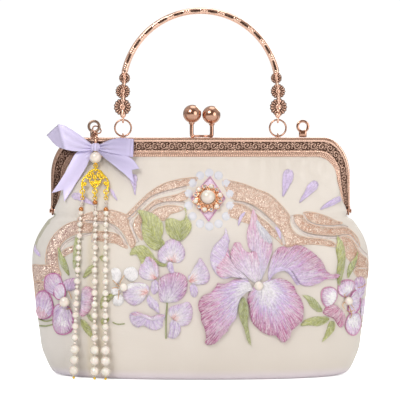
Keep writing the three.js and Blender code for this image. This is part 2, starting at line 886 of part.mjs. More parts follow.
function charmClasp() {
  const down = new THREE.Vector3(0, 0, -1);
  const radial = down.addScaledVector(charmRingAxis, charmRingAxis.z).normalize();
  radial.applyAxisAngle(charmRingAxis, claspTurn);
  const lowest = charmRingCentre.clone().addScaledVector(radial, charmRingRadius);
  const tangent = new THREE.Vector3().crossVectors(charmRingAxis, radial);
  const forward = new THREE.Vector3(0, -0.85, -0.53);
  forward.addScaledVector(tangent, -forward.dot(tangent)).normalize();
  const centre = lowest.clone().addScaledVector(forward, claspEyeRadius - 1.3);
  const start = centre.clone().addScaledVector(forward, claspEyeRadius);
  const low = new THREE.Vector3(knotX, knotY, knotZ + knotHeight / 2 + gap);
  const middle = start.clone().lerp(low, 0.45);
  const lever = new THREE.BoxGeometry(claspLever, 1.3, 1.3);
  lever.rotateY(-0.25);
  lever.translate(middle.x - 0.4 * claspLever, middle.y, middle.z);
  return joined(
    ring(centre, claspEyeRadius, 1, tangent, 12, 5),
    rod(start, low, 2, 8),
    lever,
  );
}

addPiece("charm_clasp", charmClasp(), roseGold);

// Outlines of the bow, from the middle of the knot. Lean is how far a point stands
// forward for each millimetre that it lies below the knot.
const bow = {
  bow_loop_left: {
    back: ribbonBack - ribbonThickness - gap,
    thickness: 2.6,
    lean: 0,
    outline: [
      [-3.7, 1.7],
      [-12.6, 9.8],
      [-20.4, 14.3],
      [-25, 15.5],
      [-33.1, 8.1],
      [-28.4, 1.6],
      [-23.7, -1.3],
      [-12.6, -2.6],
      [-3.7, -1.6],
    ],
  },
  bow_loop_right: {
    back: ribbonBack - ribbonThickness - 2.6,
    thickness: 2.6,
    lean: 0.1,
    outline: [
      [3.7, 1.6],
      [10.6, 5.1],
      [17.3, 6.2],
      [25.8, 5.7],
      [25.3, -6.8],
      [14, -5],
      [3.7, -1.6],
    ],
  },
  bow_tail_left: {
    back: ribbonBack,
    thickness: ribbonThickness,
    lean: 0.15,
    outline: [
      [-3.2, -2.8],
      [-12.6, -3.2],
      [-19.1, -15],
      [-29.6, -31.1],
      [-22.7, -31.3],
      [-21, -36.6],
      [-12.6, -23.5],
      [-6, -14.4],
    ],
  },
  bow_tail_right: {
    back: ribbonBack,
    thickness: ribbonThickness,
    lean: 0.36,
    outline: [
      [3.2, -2.8],
      [11.7, -11.3],
      [20.2, -18.1],
      [26.7, -24.4],
      [27.3, -17],
      [30.1, -14.5],
      [25.3, -6.8],
      [14, -4],
    ],
  },
};

for (const [name, { back, thickness, lean, outline }] of Object.entries(bow)) {
  const shape = new THREE.Shape(outline.map(([x, z]) => new THREE.Vector2(x, z)));
  const piece = frontPlate(shape, thickness, back - thickness / 2);
  const position = piece.attributes.position;
  for (let i = 0; i < position.count; i += 1) {
    position.setY(i, position.getY(i) + lean * Math.min(0, position.getZ(i)));
  }
  piece.translate(knotX, 0, knotZ);
  addPiece(name, piece, ribbonSatin);
}

function bowKnot() {
  const knot = new THREE.SphereGeometry(1, 10, 8);
  knot.scale(knotWidth / 2, knotDepth / 2, knotHeight / 2);
  knot.translate(knotX, knotY, knotZ);
  return knot;
}

addPiece("bow_knot", bowKnot(), ribbonSatin);

const charmPearlZ = knotZ - knotHeight / 2 - gap - charmPearl / 2;
const pinEyeZ = charmPearlZ - charmPearl / 2 - 1.6;
const pinEyeRadius = 1.3;

function charmPin() {
  const top = new THREE.Vector3(knotX, knotY, knotZ - knotHeight / 2 - gap);
  const low = new THREE.Vector3(knotX, knotY, pinEyeZ + pinEyeRadius);
  return joined(
    rod(top, low, pinWire, 8),
    ring(new THREE.Vector3(knotX, knotY, pinEyeZ), pinEyeRadius, linkWire, yAxis, 10, 5),
  );
}

addPiece("charm_pin", charmPin(), yellowGold);
addPiece(
  "charm_pearl",
  boredPearl(new THREE.Vector3(knotX, knotY, charmPearlZ), charmPearl, pinWire + 2 * boreRoom),
  pearlCoat,
);

// Chandelier plate between the pearl and the three strings. It is drawn from its top eye.
const connectorTopZ = pinEyeZ - pinEyeRadius - 0.2;
const stringEyes = [
  { name: "left", across: -8.4 },
  { name: "centre", across: 0 },
  { name: "right", across: 7.6 },
];
const lobeRadius = 1.95;
const lobeHole = 1.2;
const connectorLow = connectorHeight - lobeRadius;
const connectorLean = leanOver(knotX + connectorWidth / 2, connectorTopZ, knotY, connectorHeight);

// Angle that keeps a plate hung from a point in front of the cloth at one side
function leanOver(x, topZ, y, length) {
  let lean = 0;
  const steps = 12;
  for (let i = 4; i <= steps; i += 1) {
    const drop = (length * i) / steps;
    const out = clothFront(x, topZ - drop) + connectorThickness / 2 + 2 * gap;
    lean = Math.max(lean, Math.atan2(out + y, drop));
  }
  const ringOut = clothFront(x, topZ - length - linkDrop) + linkDrop + linkWire / 2 + gap;
  return Math.max(lean, Math.atan2(ringOut + y, length));
}

function connectorPlate() {
  const half = connectorWidth / 2;
  const outline = new THREE.Shape();
  outline.moveTo(0, -1.05);
  outline.quadraticCurveTo(0.45 * half, -1.5, 0.5 * half, -5);
  outline.quadraticCurveTo(0.95 * half, -6.5, 0.98 * half, -connectorLow);
  outline.lineTo(0.62 * half, -connectorLow);
  outline.quadraticCurveTo(0.4 * half, -connectorLow + 5, 0.2 * half, -connectorLow);
  outline.lineTo(-0.2 * half, -connectorLow);
  outline.quadraticCurveTo(-0.4 * half, -connectorLow + 5, -0.66 * half, -connectorLow);
  outline.lineTo(-1.02 * half, -connectorLow);
  outline.quadraticCurveTo(-0.95 * half, -6.5, -0.5 * half, -5);
  outline.quadraticCurveTo(-0.45 * half, -1.5, 0, -1.05);
  const plate = frontPlate(outline, connectorThickness, 0, 5);
  const lobes = stringEyes.map(({ across }) => {
    const lobe = new THREE.CylinderGeometry(lobeRadius, lobeRadius, connectorThickness, 12);
    return lobe.translate(across, 0, -connectorLow);
  });
  const holes = [
    ...stringEyes.map(({ across }) => ({ x: across, z: -connectorLow, radius: lobeHole })),
    { x: 0, z: -4.6, radius: 1.6 },
    { x: -0.42 * half, z: -9.4, radius: 1.9 },
    { x: 0.42 * half, z: -9.4, radius: 1.9 },
    { x: 0, z: -12.4, radius: 1.5 },
  ].map(({ x, z, radius }) =>
    new THREE.CylinderGeometry(radius, radius, 4, 10).translate(x, 0, z),
  );
  const eye = ring(new THREE.Vector3(0, 0, 0), pinEyeRadius, linkWire, xAxis, 10, 5);
  return cutBy(joined(plate, ...lobes, eye), ...holes);
}

const connector = addPiece("charm_connector", connectorPlate(), yellowGold);
connector.position.set(knotX, knotY, connectorTopZ);
connector.rotation.set(-connectorLean, 0, 0);

// Strings of pearls. Each runs down the front of the cloth and hangs straight below the belly.

const dropPitch = dropPearl + 2 * gap;
const spacerTop = floorRoom + crimp + dropPearls * dropPitch + spacerRoom;
const lowestMain = spacerTop + gap + lowPearl / 2;

// Where each string runs, across from the knot
const stringRoutes = {
  left: { top: -9.2, low: -14 },
  centre: { top: 0.7, low: 0.6 },
  right: { top: 7.8, low: 8 },
};

function hangDepth(x, topZ, z, radius) {
  // the farthest that the cloth has pushed the string out on its way down to this height
  let depth = 0;
  const steps = 24;
  for (let i = 0; i <= steps; i += 1) {
    const height = THREE.MathUtils.lerp(topZ, z, i / steps);
    const room = (radius + gap) / -clothNormal(x, height).y;
    depth = Math.max(depth, clothFront(x, height) + room);
  }
  return depth;
}

function pearlString({ name, across }) {
  const eyeAt = new THREE.Vector3(
    knotX + across,
    knotY - connectorLow * Math.sin(connectorLean),
    connectorTopZ - connectorLow * Math.cos(connectorLean),
  );
  const link = new THREE.Vector3(eyeAt.x, eyeAt.y, eyeAt.z - linkDrop);
  addPiece(`string_ring_${name}`, ring(link, linkDrop, linkWire, xAxis, 12, 5), yellowGold);
  const topEye = new THREE.Vector3(eyeAt.x, eyeAt.y, eyeAt.z - 2 * linkDrop);
  const topZ = topEye.z - eyeRing;
  const firstMain = topZ - firstPearlDrop;
  const route = stringRoutes[name];
  const place = (z, radius) => {
    const way = (topZ - z) / topZ;
    const x = knotX + THREE.MathUtils.lerp(route.top, route.low, way);
    return new THREE.Vector3(x, -hangDepth(x, topZ, z, radius), z);
  };
  const standOff = (z) =>
    THREE.MathUtils.lerp(
      topPearl / 2,
      dropPearl / 2,
      Math.min(1, (topZ - z) / (slackShare * topZ)),
    );
  const beads = [];
  const pitch = (firstMain - lowestMain) / (mainPearls - 1);
  for (let i = 0; i < mainPearls; i += 1) {
    const diameter = THREE.MathUtils.lerp(topPearl, lowPearl, i / (mainPearls - 1));
    const z = firstMain - i * pitch;
    beads.push({ z, diameter, own: i >= mainPearls - ownPearls });
    if (i === mainPearls - 1) continue;
    const free = pitch - diameter - 2 * gap;
    beads.push({ z: z - pitch / 2, diameter: Math.min(seedBead, free), own: false });
  }
  for (const drop of topSeeds) beads.push({ z: topZ - drop, diameter: seedBead, own: false });
  beads.push({ z: spacerTop - spacerRoom / 2, diameter: spacerBead, own: false });
  for (let i = 0; i < dropPearls; i += 1) {
    const z = floorRoom + crimp + (dropPearls - i - 0.5) * dropPitch;
    beads.push({ z, diameter: dropPearl, own: true });
  }
  beads.push({ z: floorRoom + crimp / 2, diameter: crimp, own: false });
  const line = [new THREE.Vector3(topEye.x, topEye.y, topZ + 0.3)];
  for (let i = 1; i <= 14; i += 1) {
    const height = THREE.MathUtils.lerp(topZ, floorRoom + crimp / 2, i / 14);
    line.push(place(height, standOff(height)));
  }
  const curve = new THREE.CatmullRomCurve3(line, false, "catmullrom", 0);
  const solid = [
    ring(topEye, eyeRing, linkWire, yAxis, 10, 5),
    tube(curve, threadDiameter, 14, 4),
  ];
  const along = curve.getSpacedPoints(240);
  const pointAt = (height) =>
    along.reduce((best, point) =>
      Math.abs(point.z - height) < Math.abs(best.z - height) ? point : best,
    );
  let number = 0;
  for (const { z: height, diameter, own } of beads.sort((a, b) => b.z - a.z)) {
    const centre = pointAt(height).clone().setZ(height);
    if (own) {
      number += 1;
      const pearl = boredPearl(centre, diameter, threadDiameter + 2 * boreRoom);
      addPiece(`pearl_${name}_${number}`, pearl, pearlCoat);
    } else {
      const bead =
        diameter > roundBead
          ? new THREE.SphereGeometry(diameter / 2, 6, 4)
          : new THREE.OctahedronGeometry(diameter / 2, 0);
      solid.push(bead.translate(centre.x, centre.y, centre.z));
    }
  }
  addPiece(`pearl_string_${name}`, joined(...solid), silk);
}

stringEyes.forEach(pearlString);

// Brooch and flower pearls, seated on the cloth

const broochZ = 0.75 * frameTop;

function clothNormal(x, z) {
  const step = 2;
  const slopeX = (clothFront(x + step, z) - clothFront(x - step, z)) / (2 * step);
  const slopeZ = (clothFront(x, z + step) - clothFront(x, z - step)) / (2 * step);
  return new THREE.Vector3(-slopeX, -1, -slopeZ).normalize();
}

function seated(x, z, distance) {
  const normal = clothNormal(x, z);
  return new THREE.Vector3(x, -clothFront(x, z), z).addScaledVector(normal, distance);
}

function broochSetting() {
  const plate = new THREE.CylinderGeometry(broochRadius, broochRadius, broochPlate, 18);
  const cup = new THREE.CylinderGeometry(broochPearl * 0.58, broochPearl * 0.58, 1.6, 14);
  cup.translate(0, broochPlate / 2 + 0.8, 0);
  const socket = new THREE.SphereGeometry(broochPearl / 2 + 2 * gap, 12, 8);
  socket.translate(0, broochPlate / 2 + 0.5 + broochPearl / 2, 0);
  const stones = [];
  for (let i = 0; i < stoneCount; i += 1) {
    const turn = (2 * Math.PI * i) / stoneCount;
    const diameter = i % 2 ? 2.4 : 3.1;
    const stone = new THREE.SphereGeometry(diameter / 2, 5, 4);
    stone.translate(
      stoneCircle * Math.cos(turn),
      broochPlate / 2 + diameter * 0.3,
      stoneCircle * Math.sin(turn),
    );
    stones.push(stone);
  }
  return cutBy(joined(plate, cup, ...stones), socket);
}

const broochNormal = clothNormal(broochX, broochZ);
const broochTurn = new THREE.Quaternion().setFromUnitVectors(yAxis, broochNormal);
const brooch = addPiece("brooch_setting", broochSetting(), yellowGold);
brooch.quaternion.copy(broochTurn);
brooch.position.copy(seated(broochX, broochZ, broochLift + broochPlate / 2));
const broochCentre = seated(
  broochX,
  broochZ,
  broochLift + broochPlate + 0.5 + broochPearl / 2,
);
addPiece("brooch_pearl", ball(broochCentre, broochPearl, 12, 8), pearlCoat);

// Their places are shares of the frame's width and height
const flowerPearls = [
  { name: "pearl_orchid", across: 0.1883, up: 0.3908, diameter: 6.4 },
  { name: "pearl_white_flower", across: -0.2488, up: 0.3847, diameter: 5.8 },
  { name: "pearl_left_flower", across: -0.44, up: 0.3209, diameter: 7.2 },
  { name: "pearl_right_flower", across: 0.4824, up: 0.3221, diameter: 5.8 },
];

for (const { name, across, up, diameter } of flowerPearls) {
  const centre = seated(across * frameWidth, up * frameTop, pearlSeat + diameter / 2);
  addPiece(name, ball(centre, diameter, 8, 6), pearlCoat);
}

export default purse;
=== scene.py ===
import math

import bpy
import numpy as np
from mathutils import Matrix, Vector
from mathutils.geometry import delaunay_2d_cdt


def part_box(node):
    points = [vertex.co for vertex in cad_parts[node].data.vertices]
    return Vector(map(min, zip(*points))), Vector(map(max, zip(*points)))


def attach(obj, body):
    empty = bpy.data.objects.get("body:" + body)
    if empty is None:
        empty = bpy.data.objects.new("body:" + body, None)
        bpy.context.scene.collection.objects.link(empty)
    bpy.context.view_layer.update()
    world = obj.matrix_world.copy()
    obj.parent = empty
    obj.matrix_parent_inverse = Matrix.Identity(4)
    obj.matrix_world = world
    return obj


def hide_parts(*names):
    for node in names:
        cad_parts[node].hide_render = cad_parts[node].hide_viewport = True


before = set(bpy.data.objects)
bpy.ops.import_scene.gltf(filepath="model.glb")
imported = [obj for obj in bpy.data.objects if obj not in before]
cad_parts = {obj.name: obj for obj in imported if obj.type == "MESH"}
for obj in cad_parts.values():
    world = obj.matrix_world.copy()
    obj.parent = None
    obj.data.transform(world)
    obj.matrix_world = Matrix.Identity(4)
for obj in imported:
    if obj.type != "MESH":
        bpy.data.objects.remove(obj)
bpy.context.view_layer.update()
dice = np.random.default_rng(7)
print("frame loaded,", len(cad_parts), "nodes")

# Camera: level with the frame, a little above the middle of the purse and looking slightly down
cameraSet = {"distance": 1.2, "height": 0.165, "tilt": 2.15, "lens": 156.9, "side": -0.0003}


def setCamera():
    view = bpy.data.cameras.new("camera")
    view.lens = cameraSet["lens"]
    view.clip_start = 0.1
    view.clip_end = 20
    camera = bpy.data.objects.new("camera", view)
    camera.location = (cameraSet["side"], -cameraSet["distance"], cameraSet["height"])
    camera.rotation_euler = (math.radians(90 - cameraSet["tilt"]), 0, 0)
    bpy.context.scene.collection.objects.link(camera)
    bpy.context.scene.camera = camera


setCamera()

# Meshes. Points are in millimetres, Z up, the front of the purse towards -Y.


def addMesh(name, shape, material, body="purse", tints=None, relief=None, smooth=True):
    points, faces = shape
    mesh = bpy.data.meshes.new(name)
    mesh.from_pydata((np.asarray(points, float) * 0.001).tolist(), [], faces)
    mesh.validate()
    mesh.update()
    if smooth:
        mesh.polygons.foreach_set("use_smooth", [True] * len(mesh.polygons))
    if tints is not None:
        colours = mesh.color_attributes.new("tint", "FLOAT_COLOR", "POINT")
        full = np.ones((len(mesh.vertices), 4), np.float32)
        full[:, :3] = tints
        colours.data.foreach_set("color", full.ravel())
    if relief is not None:
        height = mesh.attributes.new("relief", "FLOAT", "POINT")
        height.data.foreach_set("value", np.asarray(relief, np.float32).ravel())
    for one in material if isinstance(material, list) else [material]:
        mesh.materials.append(one)
    piece = bpy.data.objects.new(name, mesh)
    bpy.context.scene.collection.objects.link(piece)
    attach(piece, body)
    return piece


def gridFaces(rows, columns, wrapRows=False, wrapColumns=False, start=0):
    row = np.arange(rows if wrapRows else rows - 1)
    column = np.arange(columns if wrapColumns else columns - 1)
    r, c = np.meshgrid(row, column, indexing="ij")
    nextR, nextC = (r + 1) % rows, (c + 1) % columns
    corners = [r * columns + c, r * columns + nextC, nextR * columns + nextC, nextR * columns + c]
    return (np.stack(corners, -1).reshape(-1, 4) + start).tolist()


def merged(*shapes):
    points, faces, base = [], [], 0
    for somePoints, someFaces in shapes:
        points.append(np.asarray(somePoints, float))
        faces += [[i + base for i in face] for face in someFaces]
        base += len(somePoints)
    return np.vstack(points), faces


def placed(shape, centre=(0, 0, 0), axis=(0, 0, 1), scale=1.0):
    points, faces = shape
    turn = Vector((0, 0, 1)).rotation_difference(Vector(axis)).to_matrix()
    return np.asarray(points, float) * scale @ np.array(turn).T + np.array(centre), faces


def unit(vectors):
    length = np.linalg.norm(vectors, axis=-1, keepdims=True)
    return vectors / np.maximum(length, 1e-9)


def lathe(profile, around=32):
    # profile is (radius, height) from the bottom up, closed at the axis by its first and last point
    profile = np.asarray(profile, float)
    turn = np.linspace(0, 2 * math.pi, around, endpoint=False)
    r, t = np.meshgrid(profile[:, 0], turn, indexing="ij")
    h = np.repeat(profile[:, 1], around).reshape(r.shape)
    points = np.stack([r * np.cos(t), r * np.sin(t), h], -1).reshape(-1, 3)
    faces = gridFaces(len(profile), around, wrapColumns=True)
    low, high = len(points), len(points) + 1
    points = np.vstack([points, [0, 0, profile[0, 1]], [0, 0, profile[-1, 1]]])
    last = (len(profile) - 1) * around
    for i in range(around):
        j = (i + 1) % around
        faces.append([low, j, i])
        faces.append([high, last + i, last + j])
    return points, faces


def sphere(centre, diameter, around=28, squash=1.0):
    angle = np.linspace(0.06, math.pi - 0.06, max(6, around // 2))
    radius = diameter / 2
    return placed(lathe(np.stack([radius * np.sin(angle), -squash * radius * np.cos(angle)], -1),
                        around), centre)


def boredBead(centre, diameter, bore=0.5, axis=(0, 0, 1), around=24):
    # a pearl with the small dimple of its drilled hole at both ends
    radius = diameter / 2
    angle = np.linspace(math.asin(bore / radius), math.pi - math.asin(bore / radius), around // 2)
    profile = np.stack([radius * np.sin(angle), -radius * np.cos(angle)], -1)
    dip = np.array([[bore * 0.75, profile[0, 1] + 0.25 * bore]])
    profile = np.vstack([dip, profile, dip * [1, -1]])
    return placed(lathe(profile, around), centre, axis)


def torus(centre, radius, wire, axis=(0, 1, 0), around=48, sides=12):
    a = np.linspace(0, 2 * math.pi, around, endpoint=False)
    b = np.linspace(0, 2 * math.pi, sides, endpoint=False)
    a, b = np.meshgrid(a, b, indexing="ij")
    reach = radius + wire / 2 * np.cos(b)
    points = np.stack([reach * np.cos(a), reach * np.sin(a), wire / 2 * np.sin(b)], -1)
    faces = gridFaces(around, sides, True, True)
    return placed((points.reshape(-1, 3), [f[::-1] for f in faces]), centre, axis)


def curveThrough(points, count):
    # a smooth line through the points, with even spacing
    points = np.asarray(points, float)
    padded = np.vstack([2 * points[0] - points[1], points, 2 * points[-1] - points[-2]])
    fine = []
    for i in range(1, len(padded) - 2):
        a, b, c, d = padded[i - 1:i + 3]
        t = np.linspace(0, 1, 24, endpoint=False)[:, None]
        fine.append(0.5 * (2 * b + (c - a) * t + (2 * a - 5 * b + 4 * c - d) * t ** 2
                           + (3 * b - a - 3 * c + d) * t ** 3))
    fine = np.vstack(fine + [points[-1:]])
    return evenly(fine, count)


def evenly(line, count):
    length = np.concatenate([[0], np.cumsum(np.linalg.norm(np.diff(line, axis=0), axis=1))])
    at = np.linspace(0, length[-1], count)
    return np.stack([np.interp(at, length, line[:, k]) for k in range(line.shape[1])], -1)


def closedCurve(points, count):
    points = np.asarray(points, float)
    ring = np.vstack([points[-2:], points, points[:3]])
    fine = curveThrough(ring, 40 * len(ring))
    start = np.argmin(np.linalg.norm(fine[:60 * 2 + 60] - points[0], axis=1))
    after = fine[start + 20 * len(points):]
    end = start + 20 * len(points) + np.argmin(np.linalg.norm(after - points[0], axis=1))
    return evenly(fine[start:end + 1], count + 1)[:-1]


def sidesOf(line, up=(0, 0, 1)):
    # two directions square to a line at each of its points
    along = unit(np.gradient(line, axis=0))
    first = np.cross(along, np.broadcast_to(np.array(up, float), along.shape))
    weak = np.linalg.norm(first, axis=1) < 0.2
    first[weak] = np.cross(along[weak], [0, 1, 0])
    first = unit(first)
    return first, np.cross(first, along)


def tube(line, wire, sides=10, up=(0, 0, 1), relief=None, flat=1.0):
    # wire is one thickness or one for each point; relief adds to the radius on the (point, side) grid
    line = np.asarray(line, float)
    first, second = sidesOf(line, up)
    turn = np.linspace(0, 2 * math.pi, sides, endpoint=False)
    radius = np.broadcast_to(np.asarray(wire, float).reshape(-1, 1) / 2, (len(line), sides))
    if relief is not None:
        radius = radius + relief
    ring = (first[:, None] * np.cos(turn)[None, :, None]
            + flat * second[:, None] * np.sin(turn)[None, :, None])
    points = (line[:, None] + radius[..., None] * ring).reshape(-1, 3)
    faces = gridFaces(len(line), sides, wrapColumns=True)
    count = len(points)
    points = np.vstack([points, line[0], line[-1]])
    for i in range(sides):
        j = (i + 1) % sides
        faces.append([count, i, j])
        faces.append([count + 1, count - sides + j, count - sides + i])
    return points, [f[::-1] for f in faces]


def smoothStep(low, high, value):
    t = np.clip((value - low) / (high - low), 0, 1)
    return t * t * (3 - 2 * t)


# Materials. Shared effects are node groups that put out colours, values and normals.


def newGroup(name, inputs, outputs):
    group = bpy.data.node_groups.new(name, "ShaderNodeTree")
    for label, kind, value in inputs:
        made = group.interface.new_socket(label, in_out="INPUT", socket_type=kind)
        if value is not None:
            made.default_value = value
    for label, kind in outputs:
        group.interface.new_socket(label, in_out="OUTPUT", socket_type=kind)
    tree = Tree(group)
    tree.inside = group.nodes.new("NodeGroupInput")
    tree.outside = group.nodes.new("NodeGroupOutput")
    return tree


class Tree:
    def __init__(self, tree):
        self.tree = tree
        self.nodes = tree.nodes

    def add(self, kind, wires=None, **values):
        node = self.nodes.new("ShaderNode" + kind)
        for key, value in values.items():
            setattr(node, key, value)
        for key, value in (wires or {}).items():
            if isinstance(value, bpy.types.NodeSocket):
                self.tree.links.new(value, node.inputs[key])
            else:
                node.inputs[key].default_value = value
        return node

    def link(self, source, target):
        self.tree.links.new(source, target)

    def maths(self, operation, a, b=0.0, clamp=False):
        node = self.add("Math", {0: a, 1: b}, operation=operation, use_clamp=clamp)
        return node.outputs[0]

    def mix(self, factor, a, b, blend="MIX"):
        node = self.nodes.new("ShaderNodeMix")
        node.data_type = "RGBA"
        node.blend_type = blend
        for key, value in ((0, factor), (6, a), (7, b)):
            if isinstance(value, bpy.types.NodeSocket):
                self.link(value, node.inputs[key])
            else:
                node.inputs[key].default_value = value
        return node.outputs[2]

    def ramp(self, value, low, high, toLow=0.0, toHigh=1.0):
        node = self.add("MapRange", {0: value, 1: low, 2: high, 3: toLow, 4: toHigh})
        return node.outputs[0]


def grainGroup():
    # small uneven tone and height, for metal, pearl and cloth alike
    tree = newGroup("grain", [("Scale", "NodeSocketFloat", 400.0), ("Detail", "NodeSocketFloat", 4.0)],
                    [("Tone", "NodeSocketFloat"), ("Height", "NodeSocketFloat")])
    place = tree.add("TexCoord").outputs["Object"]
    fine = tree.add("TexNoise", {"Vector": place, "Scale": tree.inside.outputs[0],
                                 "Detail": tree.inside.outputs[1], "Roughness": 0.6})
    broad = tree.add("TexNoise", {"Vector": place, "Scale": tree.maths(
        "MULTIPLY", tree.inside.outputs[0], 0.08), "Detail": 3.0})
    tree.link(broad.outputs[0], tree.outside.inputs[0])
    tree.link(fine.outputs[0], tree.outside.inputs[1])
    return tree.tree


def weaveGroup():
    # satin: long floats one way with fine threads across them
    tree = newGroup("satinWeave",
                    [("Threads", "NodeSocketFloat", 12000.0), ("Slub", "NodeSocketFloat", 0.4)],
                    [("Height", "NodeSocketFloat"), ("Tone", "NodeSocketFloat")])
    place = tree.add("TexCoord").outputs["Object"]
    parts = tree.add("SeparateXYZ", {0: place})
    scale = tree.inside.outputs[0]
    across = tree.maths("SINE", tree.maths("MULTIPLY", parts.outputs[2], scale))
    upward = tree.maths("SINE", tree.maths("MULTIPLY", parts.outputs[0], tree.maths(
        "MULTIPLY", scale, 0.42)))
    stretched = tree.add("Mapping", {"Vector": place, "Scale": (60.0, 60.0, 900.0)})
    slub = tree.add("TexNoise", {"Vector": stretched.outputs[0], "Scale": 3.0, "Detail": 3.0})
    woven = tree.maths("MULTIPLY", upward, 0.35)
    both = tree.maths("ADD", across, woven)
    uneven = tree.maths("MULTIPLY", slub.outputs[0], tree.inside.outputs[1])
    tree.link(tree.maths("ADD", tree.maths("MULTIPLY", both, 0.25), uneven), tree.outside.inputs[0])
    tree.link(slub.outputs[0], tree.outside.inputs[1])
    return tree.tree


def patinaGroup():
    # metal darkens in its hollows and is polished on its high places
    tree = newGroup("patina",
                    [("Bright", "NodeSocketColor", (0.8, 0.55, 0.42, 1)),
                     ("Dark", "NodeSocketColor", (0.2, 0.1, 0.06, 1)),
                     ("Relief", "NodeSocketFloat", 1.0)],
                    [("Colour", "NodeSocketColor"), ("Roughness", "NodeSocketFloat"),
                     ("Height", "NodeSocketFloat")])
    grain = tree.add("Group", node_tree=bpy.data.node_groups["grain"])
    grain.inputs[0].default_value = 900
    bright, dark, relief = tree.inside.outputs[:3]
    worn = tree.maths("ADD", relief, tree.ramp(grain.outputs[1], 0.3, 0.7, -0.12, 0.12), clamp=True)
    tree.link(tree.mix(worn, dark, bright), tree.outside.inputs[0])
    tree.link(tree.ramp(worn, 0.0, 1.0, 0.5, 0.2), tree.outside.inputs[1])
    tree.link(grain.outputs[1], tree.outside.inputs[2])
    return tree.tree


def threadGroup():
    # stitched silk: the sewn colour, a little lighter and darker from thread to thread
    tree = newGroup("silkThread",
                    [("Sewn", "NodeSocketColor", (1, 1, 1, 1)), ("Fineness", "NodeSocketFloat", 2600.0)],
                    [("Colour", "NodeSocketColor"), ("Height", "NodeSocketFloat")])
    place = tree.add("TexCoord").outputs["Object"]
    fine = tree.add("TexNoise", {"Vector": place, "Scale": tree.inside.outputs[1], "Detail": 2.0})
    broad = tree.add("TexNoise", {"Vector": place, "Scale": 700.0, "Detail": 2.0})
    shade = tree.ramp(broad.outputs[0], 0.3, 0.7, 0.86, 1.1)
    toned = tree.mix(1.0, tree.inside.outputs[0], tree.add("CombineColor", {
        0: shade, 1: shade, 2: shade}).outputs[0], "MULTIPLY")
    tree.link(toned, tree.outside.inputs[0])
    tree.link(fine.outputs[0], tree.outside.inputs[1])
    return tree.tree


def glitterGroup():
    # tiny flakes, each at its own tilt and brightness
    tree = newGroup("glitter",
                    [("Ground", "NodeSocketColor", (0.8, 0.6, 0.5, 1)),
                     ("Flake", "NodeSocketColor", (1, 0.9, 0.8, 1)), ("Size", "NodeSocketFloat", 2200.0)],
                    [("Colour", "NodeSocketColor"), ("Metallic", "NodeSocketFloat"),
                     ("Normal", "NodeSocketVector")])
    place = tree.add("TexCoord").outputs["Object"]
    cells = tree.add("TexVoronoi", {"Vector": place, "Scale": tree.inside.outputs[2]})
    chosen = tree.add("SeparateColor", {0: cells.outputs["Color"]})
    flake = tree.ramp(chosen.outputs[0], 0.6, 0.75)
    cloudy = tree.add("TexNoise", {"Vector": place, "Scale": 220.0, "Detail": 3.0})
    ground = tree.mix(tree.ramp(cloudy.outputs[0], 0.35, 0.7, 0.0, 0.35),
                      tree.inside.outputs[0], tree.inside.outputs[1])
    tree.link(tree.mix(flake, ground, tree.inside.outputs[1]), tree.outside.inputs[0])
    tree.link(tree.maths("MULTIPLY", flake, 0.85), tree.outside.inputs[1])
    geometry = tree.add("NewGeometry")
    tilt = tree.add("VectorMath", {0: cells.outputs["Color"], 1: (0.5, 0.5, 0.5)}, operation="SUBTRACT")
    tilt = tree.add("VectorMath", {0: tilt.outputs[0], "Scale": 1.0}, operation="SCALE")
    leaning = tree.add("VectorMath", {0: geometry.outputs["Normal"], 1: tilt.outputs[0]},
                       operation="ADD")
    tree.link(tree.add("VectorMath", {0: leaning.outputs[0]}, operation="NORMALIZE").outputs[0],
              tree.outside.inputs[2])
    return tree.tree


def newMaterial(name, **settings):
    material = bpy.data.materials.new(name)
    material.use_nodes = True
    tree = Tree(material.node_tree)
    shader = tree.nodes["Principled BSDF"]
    for key, value in settings.items():
        shader.inputs[key].default_value = value
    return material, tree, shader


def bump(tree, shader, height, strength, distance=0.0002):
    made = tree.add("Bump", {"Height": height, "Strength": strength, "Distance": distance})
    tree.link(made.outputs[0], shader.inputs["Normal"])


for makeGroup in (grainGroup, weaveGroup, patinaGroup, threadGroup, glitterGroup):
    makeGroup()


def groupIn(tree, name, **values):
    node = tree.add("Group", node_tree=bpy.data.node_groups[name])
    for key, value in values.items():
        if isinstance(value, bpy.types.NodeSocket):
            tree.link(value, node.inputs[key])
        else:
            node.inputs[key].default_value = value
    return node


def clothMaterial(name, pale, deep, threads=12000.0, strength=0.25, rough=0.42, sheen=0.35,
                  tinted=False):
    material, tree, shader = newMaterial(name, **{
        "Roughness": rough, "Sheen Weight": sheen, "Sheen Roughness": 0.35,
        "Specular IOR Level": 0.42, "Anisotropic": 0.45})
    weave = groupIn(tree, "satinWeave", Threads=threads, Slub=0.5)
    tone = groupIn(tree, "grain", Scale=160.0)
    soft = tree.mix(tree.ramp(tone.outputs[0], 0.35, 0.65, 0.0, 1.0), pale, deep)
    fine = tree.mix(tree.ramp(weave.outputs[1], 0.35, 0.65, 0.0, 0.25), soft, deep)
    if tinted:
        tint = tree.add("Attribute", attribute_name="tint")
        fine = tree.mix(1.0, fine, tint.outputs["Color"], "MULTIPLY")
    tree.link(fine, shader.inputs["Base Color"])
    bump(tree, shader, weave.outputs[0], strength, 0.00012)
    return material


def metalMaterial(name, bright, dark, rough=None, hasRelief=True, strength=0.12):
    material, tree, shader = newMaterial(name, Metallic=1.0)
    patina = groupIn(tree, "patina", Bright=bright, Dark=dark)
    if hasRelief:
        height = tree.add("Attribute", attribute_name="relief")
        tree.link(height.outputs["Fac"], patina.inputs["Relief"])
    tree.link(patina.outputs[0], shader.inputs["Base Color"])
    if rough is None:
        tree.link(patina.outputs[1], shader.inputs["Roughness"])
    else:
        shader.inputs["Roughness"].default_value = rough
    bump(tree, shader, patina.outputs[2], strength, 0.00008)
    return material


